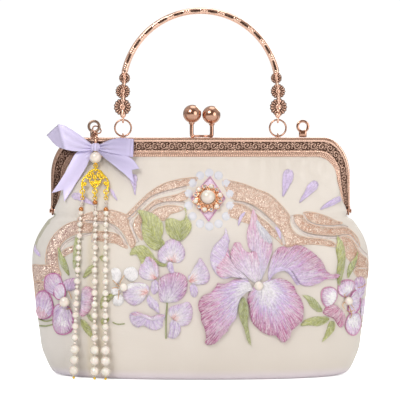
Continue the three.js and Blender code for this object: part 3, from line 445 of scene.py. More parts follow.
def pearlMaterial(name, pale, rimShadeAndOvertone, rough=0.22):
    material, tree, shader = newMaterial(name, **{
        "Roughness": rough, "Coat Weight": 1.0, "Coat Roughness": 0.05, "Coat IOR": 2.0,
        "Subsurface Weight": 0.1, "Subsurface Scale": 0.002, "Sheen Weight": 0.2})
    # painted shade: the colour darkens to a warm tone towards the pearl's rim, where the surface turns
    # away from the eye; the grain also mixes this warm tone in at random, as the pearl's own overtone
    rim = tree.add("LayerWeight", {"Blend": 0.35})
    tone = groupIn(tree, "grain", Scale=500.0)
    base = tree.mix(rim.outputs["Facing"], pale, rimShadeAndOvertone)
    tree.link(tree.mix(tree.ramp(tone.outputs[0], 0.35, 0.65, 0.0, 0.3), base, rimShadeAndOvertone),
              shader.inputs["Base Color"])
    bump(tree, shader, tone.outputs[1], 0.04, 0.00005)
    return material


def threadMaterial(name, colour=None, strength=0.3, rough=0.42):
    material, tree, shader = newMaterial(name, **{
        "Roughness": rough, "Sheen Weight": 0.5, "Sheen Roughness": 0.3, "Specular IOR Level": 0.5})
    sewn = groupIn(tree, "silkThread")
    if colour is None:
        tint = tree.add("Attribute", attribute_name="tint")
        tree.link(tint.outputs["Color"], sewn.inputs["Sewn"])
    else:
        sewn.inputs["Sewn"].default_value = colour
    tree.link(sewn.outputs[0], shader.inputs["Base Color"])
    bump(tree, shader, sewn.outputs[1], strength, 0.0001)
    return material


def glitterMaterial():
    material, tree, shader = newMaterial("glitterCloth", Roughness=0.38)
    flakes = groupIn(tree, "glitter", Flake=(1.0, 0.86, 0.74, 1))
    tint = tree.add("Attribute", attribute_name="tint")
    tree.link(tint.outputs["Color"], flakes.inputs["Ground"])
    tree.link(flakes.outputs[0], shader.inputs["Base Color"])
    tree.link(flakes.outputs[1], shader.inputs["Metallic"])
    tree.link(flakes.outputs[2], shader.inputs["Normal"])
    return material


creamSatin = clothMaterial("creamSatin", (0.80, 0.755, 0.69, 1), (0.74, 0.695, 0.625, 1), tinted=True)
lining = clothMaterial("lining", (0.78, 0.73, 0.64, 1), (0.7, 0.64, 0.54, 1), 16000.0, 0.3, 0.6, 0.2)
lilacRibbon = clothMaterial("lilacRibbon", (0.74, 0.69, 0.93, 1), (0.65, 0.6, 0.89, 1), 15000.0,
                            0.2, 0.28, 0.4, True)
satinDots = clothMaterial("satinDots", (0.76, 0.77, 0.82, 1), (0.66, 0.68, 0.75, 1), 16000.0, 0.3, 0.35)
roseGold = metalMaterial("roseGold", (1.0, 0.68, 0.53, 1), (0.05, 0.022, 0.014, 1))
polishedGold = metalMaterial("polishedGold", (0.6, 0.35, 0.25, 1), (0.3, 0.15, 0.1, 1), 0.16,
                             False, 0.05)
warmGold = metalMaterial("warmGold", (0.92, 0.6, 0.4, 1), (0.5, 0.24, 0.12, 1), 0.24, False)
# painted shade: a darker copy of the lug metal, for the left lug, which lies in shade
bronze = metalMaterial("bronze", (0.36, 0.25, 0.19, 1), (0.08, 0.05, 0.04, 1), 0.34, False)
yellowGold = metalMaterial("yellowGold", (1.0, 0.72, 0.07, 1), (0.5, 0.22, 0.02, 1), 0.2, False)
silkSheen = threadMaterial("silkThreads")
pearlWhite = pearlMaterial("pearl", (0.94, 0.89, 0.8, 1), (0.6, 0.49, 0.38, 1), 0.16)
copper = metalMaterial("copper", (0.62, 0.27, 0.1, 1), (0.25, 0.09, 0.04, 1), 0.25, False)
glassBead, glassTree, glassShader = newMaterial("glassBead", **{
    "Roughness": 0.06, "Transmission Weight": 0.55, "IOR": 1.5, "Coat Weight": 1.0})
glassTone = groupIn(glassTree, "grain", Scale=900.0)
glassTree.link(glassTree.mix(glassTree.ramp(glassTone.outputs[0], 0.3, 0.7), (0.98, 0.9, 0.86, 1),
                             (0.95, 0.78, 0.66, 1)), glassShader.inputs["Base Color"])
pearlThread = threadMaterial("pearlThread", (0.88, 0.84, 0.76, 1))
glitterCloth = glitterMaterial()
crystal, crystalTree, crystalShader = newMaterial("crystal", **{
    "Base Color": (0.86, 0.85, 0.88, 1), "Roughness": 0.06, "Metallic": 0.75, "Coat Weight": 1.0})
crystalTone = groupIn(crystalTree, "grain", Scale=1800.0)
bump(crystalTree, crystalShader, crystalTone.outputs[1], 0.2, 0.0001)
print("materials made")

# Cloth body
bodySet = {
    "halfFrame": 102.5, "top": 163.0, "channelEnd": 116.0, "seam": 108.0, "bandLow": 149.9,
    "bulge": 13.7, "halfDepth": 39.0, "power": 2.2, "wall": 1.8, "seat": 3.95, "face": 5.85,
    "columns": 121, "gather": 0.55, "waves": 0.9, "lap": 1.0,
}
closedShape = np.array([
    (0, -0.42, 0.8), (0.014, -0.12, 0.862), (0.04, 0.08, 0.9), (0.094, 0.29, 0.938),
    (0.172, 0.52, 0.969), (0.28, 0.64, 0.993), (0.384, 0.75, 1), (0.49, 0.85, 0.99),
    (0.59, 0.93, 0.964), (0.68, 1, 0.93), (0.79, 0.95, 0.872), (0.87, 0.76, 0.82),
    (0.935, 0.47, 0.77), (1, 0.1, 0.71),
])
openShape = np.array([
    (0, 0.71), (0.05, 0.69), (0.17, 0.62), (0.3, 0.545), (0.46, 0.44), (0.62, 0.335),
    (0.76, 0.24), (0.87, 0.17), (0.95, 0.135), (1, 0.128),
])
closedFine = curveThrough(closedShape * [3, 1, 1], 260) / [3, 1, 1]
openFine = curveThrough(openShape, 120)


def armWidth(z):
    return np.interp(z, [116, 134], [5.4, 9.6])


def bandInside(z):
    z = np.asarray(z, float)
    rise = np.clip((z - 134.0) / 15.9, 0, 1)
    return np.where(z < 134, 102.5 - armWidth(z), 80 + 12.9 * np.sqrt(1 - rise * rise))


def bodyHalfWidth(z):
    z = np.asarray(z, float)
    closed = 102.5 + 13.7 * np.interp(z / 108, closedFine[:, 0], closedFine[:, 1])
    # beside the hinge the cloth bulges over the ends of the arms
    over = np.interp(z, [106, 109, 112, 115, 118, 122, 150], [0, 0, 3.6, 2.6, 1.5, 1.0, 0.2])
    parted = bandInside(np.maximum(z, 116)) + over
    way = smoothStep(106, 112.5, z)
    return closed * (1 - way) + parted * way


def bodyHalfDepth(z):
    z = np.asarray(z, float)
    closed = np.interp(z / 108, closedFine[:, 0], closedFine[:, 2])
    parted = np.interp((z - 108) / 41.9, openFine[:, 0], openFine[:, 1])
    return bodySet["halfDepth"] * np.where(z < 108, closed, parted)


def edgeDepth(z):
    # how far in front of the middle the panel's edge stands: on the seam it is nil
    return np.interp(z, [104, 111, 116, 140, 150], [0, 5.2, 6.3, 6.3, 4.4])


def drape(x, z):
    # gathers under the frame, and slow waves where the cloth hangs full
    x, z = np.asarray(x, float), np.asarray(z, float)
    below = np.maximum(0, 150 - z)
    gather = (np.sin(x * 0.62 + 0.9 * np.sin(x * 0.11)) + 0.6 * np.sin(x * 1.13 + 1.7)
              + 0.5 * np.sin(x * 0.31 + 4))
    fade = np.exp(-below / 11.0) * smoothStep(0, 3.0, below)
    corner = np.exp(-((np.abs(x) - 78) / 13) ** 2) * np.exp(-((z - 133) / 11) ** 2)
    crease = np.sin((np.abs(x) * 0.75 + z * 0.95) * 0.48 + np.sign(x))
    waves = (np.sin(x * 0.041 + 1.2 + z * 0.013) * np.sin(z * 0.052 + 0.6)
             + 0.45 * np.sin(x * 0.083 - z * 0.047 + 2.2))
    calm = smoothStep(0, 30, z) * smoothStep(150, 122, z)
    return (bodySet["gather"] * gather * fade + 0.7 * corner * crease
            + bodySet["waves"] * waves * calm)


def clothDepth(x, z):
    # distance of the front cloth from the plane through the middle
    x, z = np.asarray(x, float), np.asarray(z, float)
    width, depth, edge = bodyHalfWidth(z), bodyHalfDepth(z), edgeDepth(z)
    depth = np.maximum(depth, edge)
    across = np.clip(np.abs(x) / width, 0, 1)
    share = np.power(1 - across ** 2.2, 1 / 2.2)
    return edge + (depth - edge) * share + drape(x, z) * smoothStep(0, 0.5, share)


def clothNormal(x, z):
    step = 1.5
    slopeX = (clothDepth(x + step, z) - clothDepth(x - step, z)) / (2 * step)
    slopeZ = (clothDepth(x, z + step) - clothDepth(x, z - step)) / (2 * step)
    return unit(np.stack([-slopeX, -np.ones_like(slopeX), -slopeZ], -1))


def onCloth(flat, lift=0.0):
    # flat holds places on the plane through the middle as the camera sees them
    flat = np.asarray(flat, float)
    far, height = cameraSet["distance"] * 1000, cameraSet["height"] * 1000
    x, z = flat[:, 0].copy(), flat[:, 1].copy()
    depth = np.full(len(flat), 20.0)
    for _ in range(14):
        near = (far - depth) / far
        x = flat[:, 0] * near
        z = height + (flat[:, 1] - height) * near
        x = np.clip(x, -0.985 * bodyHalfWidth(z), 0.985 * bodyHalfWidth(z))
        depth = 0.5 * depth + 0.5 * clothDepth(x, z)
    places = np.stack([x, -clothDepth(x, z), z], -1)
    return places + clothNormal(x, z) * np.reshape(lift, (-1, 1))


def makeBody():
    columns = bodySet["columns"]
    turn = np.linspace(0, math.pi, columns)
    cosine, sine = np.cos(turn), np.sin(turn)
    power = 2 / bodySet["power"]
    acrossShare = np.sign(cosine) * np.abs(cosine) ** power
    outShare = np.abs(sine) ** power
    rows = []
    for height, bulge, depth in curveThrough(closedShape * [3, 1, 1], 70) / [3, 1, 1]:
        rows.append((108 * height, 102.5 + 13.7 * bulge, 39 * depth, 0.0, False))
    rows = [row for row in rows if row[0] < 104]
    for z in np.linspace(104, 108, 4):
        rows.append((z, float(bodyHalfWidth(z)), float(bodyHalfDepth(z)), float(edgeDepth(z)), False))
    for z in np.concatenate([np.linspace(109.2, 149.5, 34), [151.5, 154, 157.5, 160.5]]):
        width = float(bodyHalfWidth(min(z, 149.5)))
        depth = float(bodyHalfDepth(min(z, 149.8)))
        edge = float(edgeDepth(z))
        if z > 150:
            rise = min(1, (z - 136) / 25.2)
            width = 84.5 + 16.2 * math.sqrt(1 - rise * rise) - 0.5
            depth = edge = bodySet["seat"]
        rows.append((z, width, depth, edge, True))
    skins = []
    for inside in (False, True):
        wall = bodySet["wall"] if inside else 0
        skin = []
        for z, width, depth, edge, parted in rows:
            x = (width - wall * (not parted)) * acrossShare
            edgeHere = max(0.0, edge - wall) if parted or edge > 0 else 0.0
            if not parted:
                edgeHere = edge * (1 - (wall > 0) * 0.3)
            full = max(depth, edge) - wall
            y = edgeHere + (full - edgeHere) * outShare
            if not parted and edge == 0:
                y = (depth - wall) * outShare
            if not parted:
                y = y * smoothStep(-0.001, 0.14, outShare)
            if z < 151:
                y = y + drape(x, z) * smoothStep(0, 0.5, outShare)
            lift = wall * (1 - z / 108) if z < 108 else 0
            front = np.stack([x, -y, np.full_like(x, z + lift)], -1)
            skin.append((front, front * [1, -1, 1], parted))
        skins.append(skin)
    points, faces, index = [], [], []
    for skin in skins:
        ids = []
        for front, back, parted in skin:
            start = len(points)
            points += front.tolist()
            frontIds = list(range(start, start + columns))
            start = len(points)
            if parted:
                points += back.tolist()
                backIds = list(range(start, start + columns))
            else:
                points += back[1:-1].tolist()
                backIds = [frontIds[0]] + list(range(start, start + columns - 2)) + [frontIds[-1]]
            ids.append((frontIds, backIds, parted))
        index.append(ids)
    outer, inner = index
    for r in range(len(outer) - 1):
        for ids, turned in ((outer, False), (inner, True)):
            for panel in (0, 1):
                low, high = ids[r][panel], ids[r + 1][panel]
                for i in range(columns - 1):
                    face = [low[i + 1], low[i], high[i], high[i + 1]]
                    faces.append(face[::-1] if turned != (panel == 1) else face)
        if outer[r + 1][2]:
            for panel in (0, 1):
                for i in (0, columns - 1):
                    face = [outer[r][panel][i], inner[r][panel][i],
                            inner[r + 1][panel][i], outer[r + 1][panel][i]]
                    faces.append(face[::-1] if (panel == 1) != (i > 0) else face)
    for panel in (0, 1):
        top, inTop = outer[-1][panel], inner[-1][panel]
        for i in range(columns - 1):
            face = [top[i + 1], top[i], inTop[i], inTop[i + 1]]
            faces.append(face[::-1] if panel == 1 else face)
    for ids, z, turned in ((outer, 0.0, False), (inner, bodySet["wall"], True)):
        ring = ids[0][0] + ids[0][1][::-1][1:-1]
        base = np.array([points[i] for i in ring])
        previous = ring
        for share in (0.75, 0.4, 0.1):
            start = len(points)
            scaled = base * [share, share, 1]
            scaled[:, 2] = z + (0.25 if not turned else 0) * (1 - share)
            points += scaled.tolist()
            now = list(range(start, start + len(ring)))
            for i in range(len(ring)):
                j = (i + 1) % len(ring)
                face = [previous[i], previous[j], now[j], now[i]]
                faces.append(face if turned else face[::-1])
            previous = now
        faces.append(previous[::-1] if not turned else previous)
    outerCount = outer[-1][1][-1] + 1
    points = np.array(points)
    # painted light: the cloth is made lighter and bluer where it turns under to the base
    x, y, z = points.T
    under = smoothStep(8.0, 1.0, z)
    tints = 1 - np.outer(under, [-0.09, -0.08, -0.28])
    # painted shade: the cloth darkens towards the left side
    tints -= np.outer(smoothStep(-66, -100, x), [0.075, 0.055, 0.025])
    # warm light from the pearls on the cloth behind them
    glow = np.exp(-((x + 74.0) / 2.2) ** 2) + np.exp(-((x + 66.5) / 2.0) ** 2)
    glow = glow * (y < 0) * smoothStep(120, 100, z)
    tints -= np.outer(glow, [0.0, 0.03, 0.14])
    # the cloth lies in soft shade between the raised pieces in the middle
    hollow = np.exp(-((x - 7) / 16) ** 2 - ((z - 88) / 18) ** 2) * (y < 0)
    tints -= np.outer(hollow, [0.12, 0.11, 0.08])
    # shade for the left shoulder; it also covers the left half of the back panel
    strip = (y > -9) * smoothStep(84, 88, z) * smoothStep(113, 110, z) * (x < 0)
    tints -= np.outer(strip, [0.3, 0.3, 0.42])
    body = addMesh("purseBody", (points, faces), [creamSatin, lining], tints=tints)
    for polygon in body.data.polygons:
        if all(outerCount <= v for v in polygon.vertices):
            polygon.material_index = 1
    fix = bpy.data.meshes[body.data.name]
    fix.update()
    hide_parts("bag_body")
    return body


makeBody()
print("cloth body made")

# Frame: a U channel bent from sheet, its front pressed with a scroll border, beads and ribs
frameSet = {
    "band": 13.1, "webWall": 1.2, "wall": 1.0, "parting": 0.25, "innerWall": 8.0, "relief": 0.5,
    "bead": 1.55, "rib": 1.4, "scroll": 5.7, "stations": 900,
}


def framePath(count):
    # outer and inner edge of the arch from the right arm's end to the left arm's end
    outer, inner = [], []
    for z in np.linspace(116, 136, 30, endpoint=False):
        outer.append((102.5, z))
        inner.append((102.5 - float(armWidth(z)), z))
    for turn in np.linspace(0, math.pi / 2, 50):
        outer.append((84.5 + 18 * math.cos(turn), 136 + 27 * math.sin(turn)))
        inner.append((80 + 12.9 * math.cos(turn), 134 + 15.9 * math.sin(turn)))
    both = np.hstack([np.array(outer), np.array(inner)])
    # the inner edge turns a little ahead of the outer one, as its corner lies lower
    both = np.vstack([both, [[0, 163, 0, 149.9]]])
    half = evenly(both, count // 2)
    mirror = half[::-1][1:] * [-1, 1, -1, 1]
    return np.vstack([half, mirror])


def scrollRelief(along, across, tile, reach):
    # rolled leaves: spirals that turn alternately up and down a running band
    cell = np.floor(along / tile)
    flip = 1 - 2 * np.mod(cell, 2)
    u = along - (cell + 0.5) * tile
    v = across * flip
    radius = np.hypot(u + 0.4, v + 0.15 * reach)
    angle = np.arctan2(v + 0.15 * reach, u + 0.4)
    roll = np.cos(radius * 2 * math.pi / (0.68 * reach) - angle)
    near = smoothStep(reach * 1.12, reach * 0.85, radius)
    leaf = np.cos(2 * math.pi * (u / tile) * 2 + v * 1.7) * np.cos(v * 2.4 - 0.6)
    return smoothStep(-0.35, 0.45, roll) * near + (1 - near) * smoothStep(-0.1, 0.6, leaf)


def makeFrameHalf(name, side, node):
    path = framePath(frameSet["stations"])
    middle = (path[:, :2] + path[:, 2:]) / 2
    along = np.concatenate([[0], np.cumsum(np.linalg.norm(np.diff(middle, axis=0), axis=1))])
    along -= along[-1] / 2
    direction = path[:, 2:] - path[:, :2]
    width = np.linalg.norm(direction, axis=1)
    direction = direction / width[:, None]
    share = np.concatenate([[0, 0.008, 0.025, 0.05], np.linspace(0.08, 0.2, 5), [0.222, 0.236],
                            np.linspace(0.26, 0.64, 17), [0.662, 0.676], np.linspace(0.695, 0.79, 6),
                            np.linspace(0.81, 0.96, 6), [0.985, 1.0]])
    s, a = np.meshgrid(along, share, indexing="ij")
    lip = -0.75 * (1 - np.sqrt(np.clip(1 - (1 - a / 0.06) ** 2, 0, 1))) * (a < 0.06)
    crown = 0.18 * np.sin(np.clip(a / 0.22, 0, 1) * math.pi)
    inStrip = smoothStep(0.218, 0.238, a) * smoothStep(0.68, 0.66, a)
    scroll = scrollRelief(s, (a - 0.45) * frameSet["band"], frameSet["scroll"], 2.45)
    strip = -frameSet["relief"] * inStrip + 0.52 * scroll * inStrip * smoothStep(0.235, 0.27, a) \
        * smoothStep(0.665, 0.64, a)
    beadAcross = np.clip(1 - ((a - 0.742) / 0.05) ** 2, 0, 1)
    beads = 0.42 * np.sqrt(beadAcross) * np.abs(np.sin(math.pi * s / frameSet["bead"])) ** 0.6
    beadGround = -0.25 * smoothStep(0.685, 0.7, a) * smoothStep(0.8, 0.79, a)
    ribZone = smoothStep(0.8, 0.83, a)
    ribs = ribZone * (0.26 * np.abs(np.sin(math.pi * s / frameSet["rib"])) ** 0.7 - 0.16
                      - 0.5 * smoothStep(0.93, 1.0, a))
    height = lip + crown * (a < 0.22) + strip + beads + beadGround + ribs
    shade = np.clip(0.62 + 1.1 * (height + 0.02), 0, 1)
    milled = np.abs(np.sin(math.pi * s / frameSet["rib"]))
    shade = np.where(a < 0.21, 0.78 + 0.22 * milled, shade)
    shade = np.where(a > 0.82, 0.3 + 0.7 * milled, shade)
    shade = np.where((a > 0.23) & (a < 0.67), np.clip(0.03 + 0.56 * scroll, 0, 1), shade)
    # painted shade: the frame is darker round the left corner
    shade = shade * (1 - 0.55 * smoothStep(-68, -88, path[:, 0]))[:, None]
    web, wall = frameSet["webWall"], frameSet["wall"]
    reach = a * width[:, None]
    face = bodySet["face"]
    front = np.stack([path[:, None, 0] + direction[:, None, 0] * reach,
                      side * (face + height),
                      path[:, None, 1] + direction[:, None, 1] * reach], -1)
    rest = []
    parting = frameSet["parting"]
    for across, depth in ((None, face - wall), (web, face - wall), (web, parting + wall),
                          (frameSet["innerWall"], parting + wall), (frameSet["innerWall"], parting),
                          (0.3, parting), (0.0, parting + 0.3), (0.0, face - 1.6)):
        squeeze = width if across is None else np.where(
            across <= web, across, web + (across - web) * (width - web) / (frameSet["band"] - web))
        rest.append(np.stack([path[:, 0] + direction[:, 0] * squeeze, np.full(len(path), side * depth),
                              path[:, 1] + direction[:, 1] * squeeze], -1))
    rest = np.stack(rest, 1)
    points = np.concatenate([front, rest], 1)
    columns = points.shape[1]
    relief = np.concatenate([shade, np.full((len(path), len(rest[0])), 0.75)], 1)
    faces = gridFaces(len(path), columns, wrapColumns=True)
    faces.append(list(range(columns))[::-1])
    faces.append([(len(path) - 1) * columns + i for i in range(columns)])
    if side > 0:
        faces = [face[::-1] for face in faces]
    shape = (points.reshape(-1, 3), faces)
    piece = addMesh(name, shape, roseGold, relief=relief)
    for polygon in piece.data.polygons[-2:]:
        polygon.use_smooth = False
    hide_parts(node)
    return piece


makeFrameHalf("frameFrontChannel", -1, "frame_front")
makeFrameHalf("frameBackChannel", 1, "frame_back")


def makeHinge(mirror):
    # two ears riveted together under each arm, mostly under the cloth
    name = "Right" if mirror > 0 else "Left"
    ears = []
    for side, x in ((-1, 101.9), (1, 100.4)):
        disc = placed(lathe([(0.01, -0.6), (2.7, -0.6), (3.0, -0.4), (3.0, 0.4), (2.7, 0.6),
                             (0.01, 0.6)], 28), (mirror * x, 0, 112.4), (1, 0, 0))
        arm = tube([(mirror * x, side * 1.1, 113.2), (mirror * x, side * 2.2, 115),
                    (mirror * x, side * 3.0, 117.4)], [2.2, 2.2, 1.8], 8)
        ears += [disc, arm]
    addMesh("hingeEars" + name, merged(*ears), polishedGold)
    pin = [(0.01, -1.2), (1.3, -1.15), (1.75, -0.75), (1.8, -0.55), (1.0, -0.5), (1.0, 2.9),
           (1.8, 2.95), (1.75, 3.2), (1.2, 3.6), (0.01, 3.65)]
    rivet = placed(lathe(pin, 24), (mirror * 102.8, 0, 112.4), (-mirror, 0, 0))
    piece = addMesh("hingePin" + name, rivet, polishedGold)
    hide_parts("hinge_rivet_" + name.lower())


for mirror in (1, -1):
    makeHinge(mirror)

# Staples on the frame, rings and handle
handleSet = {
    "x": 53.1, "y": -3.05, "ringZ": 163.95, "ring": 5.6, "wire": 1.25, "eyeZ": 175.15,
    "arch": 53.2, "archZ": 196.4, "endRise": 11.2, "tube": 4.4,
    "rosettes": [(203.7, 0.0, 7.9), (194.6, 1.2, 10.3), (183.9, 1.5, 12.1)], "thick": 3.4,
    "petals": 15, "dash": 11.8,
}


def makeStaple(mirror):
    x, y = mirror * handleSet["x"], handleSet["y"]
    line = [(x, y + 1.5, 162.4), (x, y + 1.5, 163.9)]
    for turn in np.linspace(0, math.pi, 12):
        line.append((x, y + 1.5 * math.cos(turn), 164.0 + 1.5 * math.sin(turn)))
    line += [(x, y - 1.5, 163.9), (x, y - 1.5, 162.4)]
    loop = tube(evenly(np.array(line), 40), 1.15, 12, (1, 0, 0))
    foot = placed(lathe([(0.01, 0), (2.3, 0), (2.4, 0.25), (2.1, 0.5), (0.01, 0.55)], 28),
                  (x, y, 162.75))
    addMesh("staple" + ("Right" if mirror > 0 else "Left"), merged(loop, foot), polishedGold)


def makeRing(mirror):
    side = "right" if mirror > 0 else "left"
    centre = (mirror * handleSet["x"], handleSet["y"], handleSet["ringZ"] + handleSet["ring"])
    turn = np.linspace(0, 2 * math.pi, 97)[:-1]
    wire = handleSet["wire"] * (1 + 0.03 * np.sin(3 * turn))
    angle, sides = turn, np.linspace(0, 2 * math.pi, 14, endpoint=False)
    a, b = np.meshgrid(angle, sides, indexing="ij")
    reach = handleSet["ring"] + (wire[:, None] / 2) * np.cos(b)
    points = np.stack([centre[0] + reach * np.cos(a), centre[1] + wire[:, None] / 2 * np.sin(b),
                       centre[2] + reach * np.sin(a)], -1)
    shape = (points.reshape(-1, 3), gridFaces(96, 14, True, True))
    piece = addMesh("jumpRing" + side.title(), shape, polishedGold, "rings")
    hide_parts("ring_" + side)


def makeArch():
    past = math.asin(handleSet["endRise"] / handleSet["arch"])
    turn = np.linspace(past, math.pi - past, 520)
    line = np.stack([handleSet["arch"] * np.cos(turn), np.full(520, handleSet["y"]),
                     handleSet["archZ"] + handleSet["arch"] * np.sin(turn)], -1)
    sides = 28
    along = turn * handleSet["arch"]
    around = np.linspace(0, 2 * math.pi, sides, endpoint=False)
    s, a = np.meshgrid(along, around, indexing="ij")
    smooth = tube(line, handleSet["tube"], sides, (0, 1, 0))[0][:a.size].reshape(*a.shape, 3)
    # long cuts with two dots between them run along the middle of the front and the back
    facing = np.abs(smooth[..., 1] - handleSet["y"]) / (handleSet["tube"] / 2)
    phase = np.mod(s / handleSet["dash"], 1)
    leaf = np.sin(np.clip((phase - 0.05) / 0.65, 0, 1) * math.pi) ** 0.5
    cut = smoothStep(0.99 - 0.13 * leaf, 1.0 - 0.06 * leaf, facing) * smoothStep(0.2, 0.5, leaf)
    dot = np.exp(-((phase - 0.79) / 0.022) ** 2) + np.exp(-((phase - 0.91) / 0.022) ** 2)
    dot = smoothStep(0.93, 0.97, facing) * dot
    border = np.exp(-((facing - 0.74) / 0.05) ** 2)
    relief = -0.3 * np.maximum(cut, dot) - 0.06 * border
    shape = tube(line, handleSet["tube"], sides, (0, 1, 0), relief)
    shade = 1 - 0.95 * np.maximum(cut, dot) - 0.35 * border
    shade = np.concatenate([np.clip(shade, 0, 1).ravel(), [0.7, 0.7]])
    piece = addMesh("handleArch", shape, roseGold, "handle", relief=shade)
    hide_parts("handle_arch")


def rosette(centre, diameter):
    # a cast flower: ribbed petals round a bright ring with a dark heart, the same on both faces
    around, rings = 96, 22
    share = np.linspace(0.02, 1, rings)
    turn = np.linspace(0, 2 * math.pi, around, endpoint=False)
    r, t = np.meshgrid(share, turn, indexing="ij")
    petal = np.abs(np.cos(handleSet["petals"] * t / 2)) ** 1.8
    edge = diameter / 2 * (1 - 0.09 * (1 - petal) * smoothStep(0.7, 1, r))
    heart = 0.5 * np.sqrt(np.clip(1 - (r / 0.09) ** 2, 0, 1))
    ringRise = 0.85 * np.sqrt(np.clip(1 - ((r - 0.24) / 0.11) ** 2, 0, 1))
    zone = smoothStep(0.36, 0.42, r)
    leaf = zone * (0.1 + 0.9 * petal) * np.sin(np.clip((r - 0.33) / 0.7, 0, 1) * math.pi) ** 0.6
    height = 0.42 + np.maximum.reduce([heart * 0.8, ringRise, 0.85 * leaf])
    height = height * np.sqrt(np.clip(1 - (r / 1.02) ** 10, 0.05, 1))
    shade = np.clip(np.maximum.reduce([heart * 0.5, ringRise * 1.4, leaf * 0.85]) + 0.02, 0, 1)
    half = handleSet["thick"] / 2 * 0.85
    front = np.stack([edge * r * np.cos(t), -half * height, edge * r * np.sin(t)], -1)
    back = front * [1, -1, 1]
    points = np.concatenate([front.reshape(-1, 3), back.reshape(-1, 3)]) + np.array(centre)
    count = rings * around
    faces = gridFaces(rings, around, wrapColumns=True)
    faces += [f[::-1] for f in gridFaces(rings, around, wrapColumns=True, start=count)]
    last = (rings - 1) * around
    for i in range(around):
        j = (i + 1) % around
        faces.append([last + i, last + j, count + last + j, count + last + i])
    faces.append(list(range(around))[::-1])
    faces.append([count + i for i in range(around)])
    return (points, [f[::-1] for f in faces]), np.concatenate([shade.ravel(), shade.ravel()])


def makeHandleEnd(mirror):
    side = "right" if mirror > 0 else "left"
    y = handleSet["y"]
    shapes, shades = [], []
    for z, outward, diameter in handleSet["rosettes"]:
        shape, shade = rosette((mirror * (52.0 + outward), y, z), diameter)
        shapes.append(shape)
        shades.append(shade)
    x, low = mirror * handleSet["x"], handleSet["eyeZ"]
    plain = [
        tube([(mirror * 52, y, 207.3), (mirror * 52, y, 203.7), (mirror * 53.2, y, 194.6),
              (mirror * 53.5, y, 183.9), (x, y, low + 2.0)], [3.4, 2.6, 2.6, 2.6, 2.2], 16),
        sphere((x, y, low + 3.2), 4.1, 24),
        torus((x, y, low), 1.75, 1.4, (1, 0, 0), 40, 12),
        torus((mirror * 52, y, 207.25), 1.9, 0.9, (0, 0, 1), 32, 8),
    ]
    shapes += plain
    shades += [np.full(len(points), 0.95) for points, _ in plain]
    piece = addMesh("handleEnd" + side.title(), merged(*shapes), roseGold, "handle",
                    relief=np.concatenate(shades))
    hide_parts("handle_end_" + side)


for mirror in (1, -1):
    makeStaple(mirror)
    makeRing(mirror)
    makeHandleEnd(mirror)
makeArch()
print("frame, rings and handle made")

# Kiss lock
lockSet = {"ball": 12.6, "post": 2.7, "collar": 3.9, "footLength": 15.4, "footZ": 164.0}


def makeLock(side, node):
    left = side < 0
    ballX = 0.9 + side * 6.6
    postX = ballX + side * 0.3
    ballZ = 163 + (16.2 if left else 15.5)
    y = side * 3.05
    radius = lockSet["ball"] / 2
    foot = tube([(postX + side * 0.2, y, lockSet["footZ"]),
                 (postX - side * lockSet["footLength"] * 0.5, y, lockSet["footZ"]),
                 (postX - side * (lockSet["footLength"] - 1.4), y, lockSet["footZ"])],
                1.55, 14, (0, 1, 0), flat=0.95)
    bend = [(postX - side * 1.6, y, lockSet["footZ"]), (postX - side * 0.5, y, lockSet["footZ"] + 0.1),
            (postX, y, lockSet["footZ"] + 1.3), (postX, y, ballZ - radius - 0.2),
            (postX - side * 0.2, y + (side * 0.8 - y) * 0.5, ballZ - radius + 1.5)]
    stem = tube(curveThrough(bend, 24), lockSet["post"], 18, (0, 1, 0))
    low = ballZ - radius
    collar = placed(lathe([(0.01, -0.95), (1.5, -0.95), (1.95, -0.7), (2.05, -0.3), (1.75, 0.0),
                           (2.0, 0.3), (2.1, 0.7), (1.7, 1.1), (0.01, 1.2)], 28), (postX, y, low))
    globe = sphere((ballX, side * 0.8, ballZ), lockSet["ball"], 56)
    piece = addMesh("lock" + ("Left" if left else "Right"), merged(foot, stem, collar, globe),
                    polishedGold)
    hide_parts(node)


makeLock(-1, "clasp_front")
makeLock(1, "clasp_back")

# Strap lugs: flat rings stamped from plate, with rounded edges
lugSet = {"outer": 9.0, "hole": 5.3, "stem": 5.3, "thick": 1.1, "holeZ": 170.6, "foot": 163.35}


def makeLug(name, x, node, material):
    y, z = handleSet["y"], lugSet["holeZ"]
    out, hole, half = lugSet["outer"] / 2, lugSet["hole"] / 2, lugSet["stem"] / 2
    meet = math.asin(half / out)
    steps = 64
    turn = np.linspace(-math.pi / 2 + meet, 1.5 * math.pi - meet, steps)
    rim = [(x + out * math.cos(t), z + out * math.sin(t)) for t in turn]
    stemSide = [(x - half, lugSet["foot"] + 2), (x - half, lugSet["foot"]), (x, lugSet["foot"]),
                (x + half, lugSet["foot"]), (x + half, lugSet["foot"] + 2)]
    outline = evenly(np.array(rim + stemSide + rim[:1]), 97)[:-1]
    start = np.arctan2(outline[:, 1] - z, outline[:, 0] - x)
    inner = np.stack([x + hole * np.cos(start), z + hole * np.sin(start)], -1)
    toward = unit(inner - outline)
    bevel, thick = 0.22, lugSet["thick"] / 2
    loops = [(outline + toward * bevel, -thick), (outline, -thick + bevel), (outline, thick - bevel),
             (outline + toward * bevel, thick), (inner - toward * bevel, thick),
             (inner, thick - bevel), (inner, -thick + bevel), (inner - toward * bevel, -thick)]
    points = np.concatenate([np.stack([loop[:, 0], np.full(len(loop), y + d), loop[:, 1]], -1)
                             for loop, d in loops])
    plate = (points, gridFaces(len(loops), 96, True, True))
    foot = tube([(x, y, lugSet["foot"] + 0.35), (x, y + 1.4, lugSet["foot"] + 0.3),
                 (x, y + 2.3, lugSet["foot"] + 0.2)], [5.2, 5.2, 4.6], 14, (0, 0, 1), flat=0.16)
    piece = addMesh(name, merged(plate, foot), material)
    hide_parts(node)


# the left lug takes the darker metal as painted shade
makeLug("strapLugLeft", -73.0, "strap_lug_left", bronze)
makeLug("strapLugRight", 70.2, "strap_lug_right", polishedGold)
print("lock and lugs made")

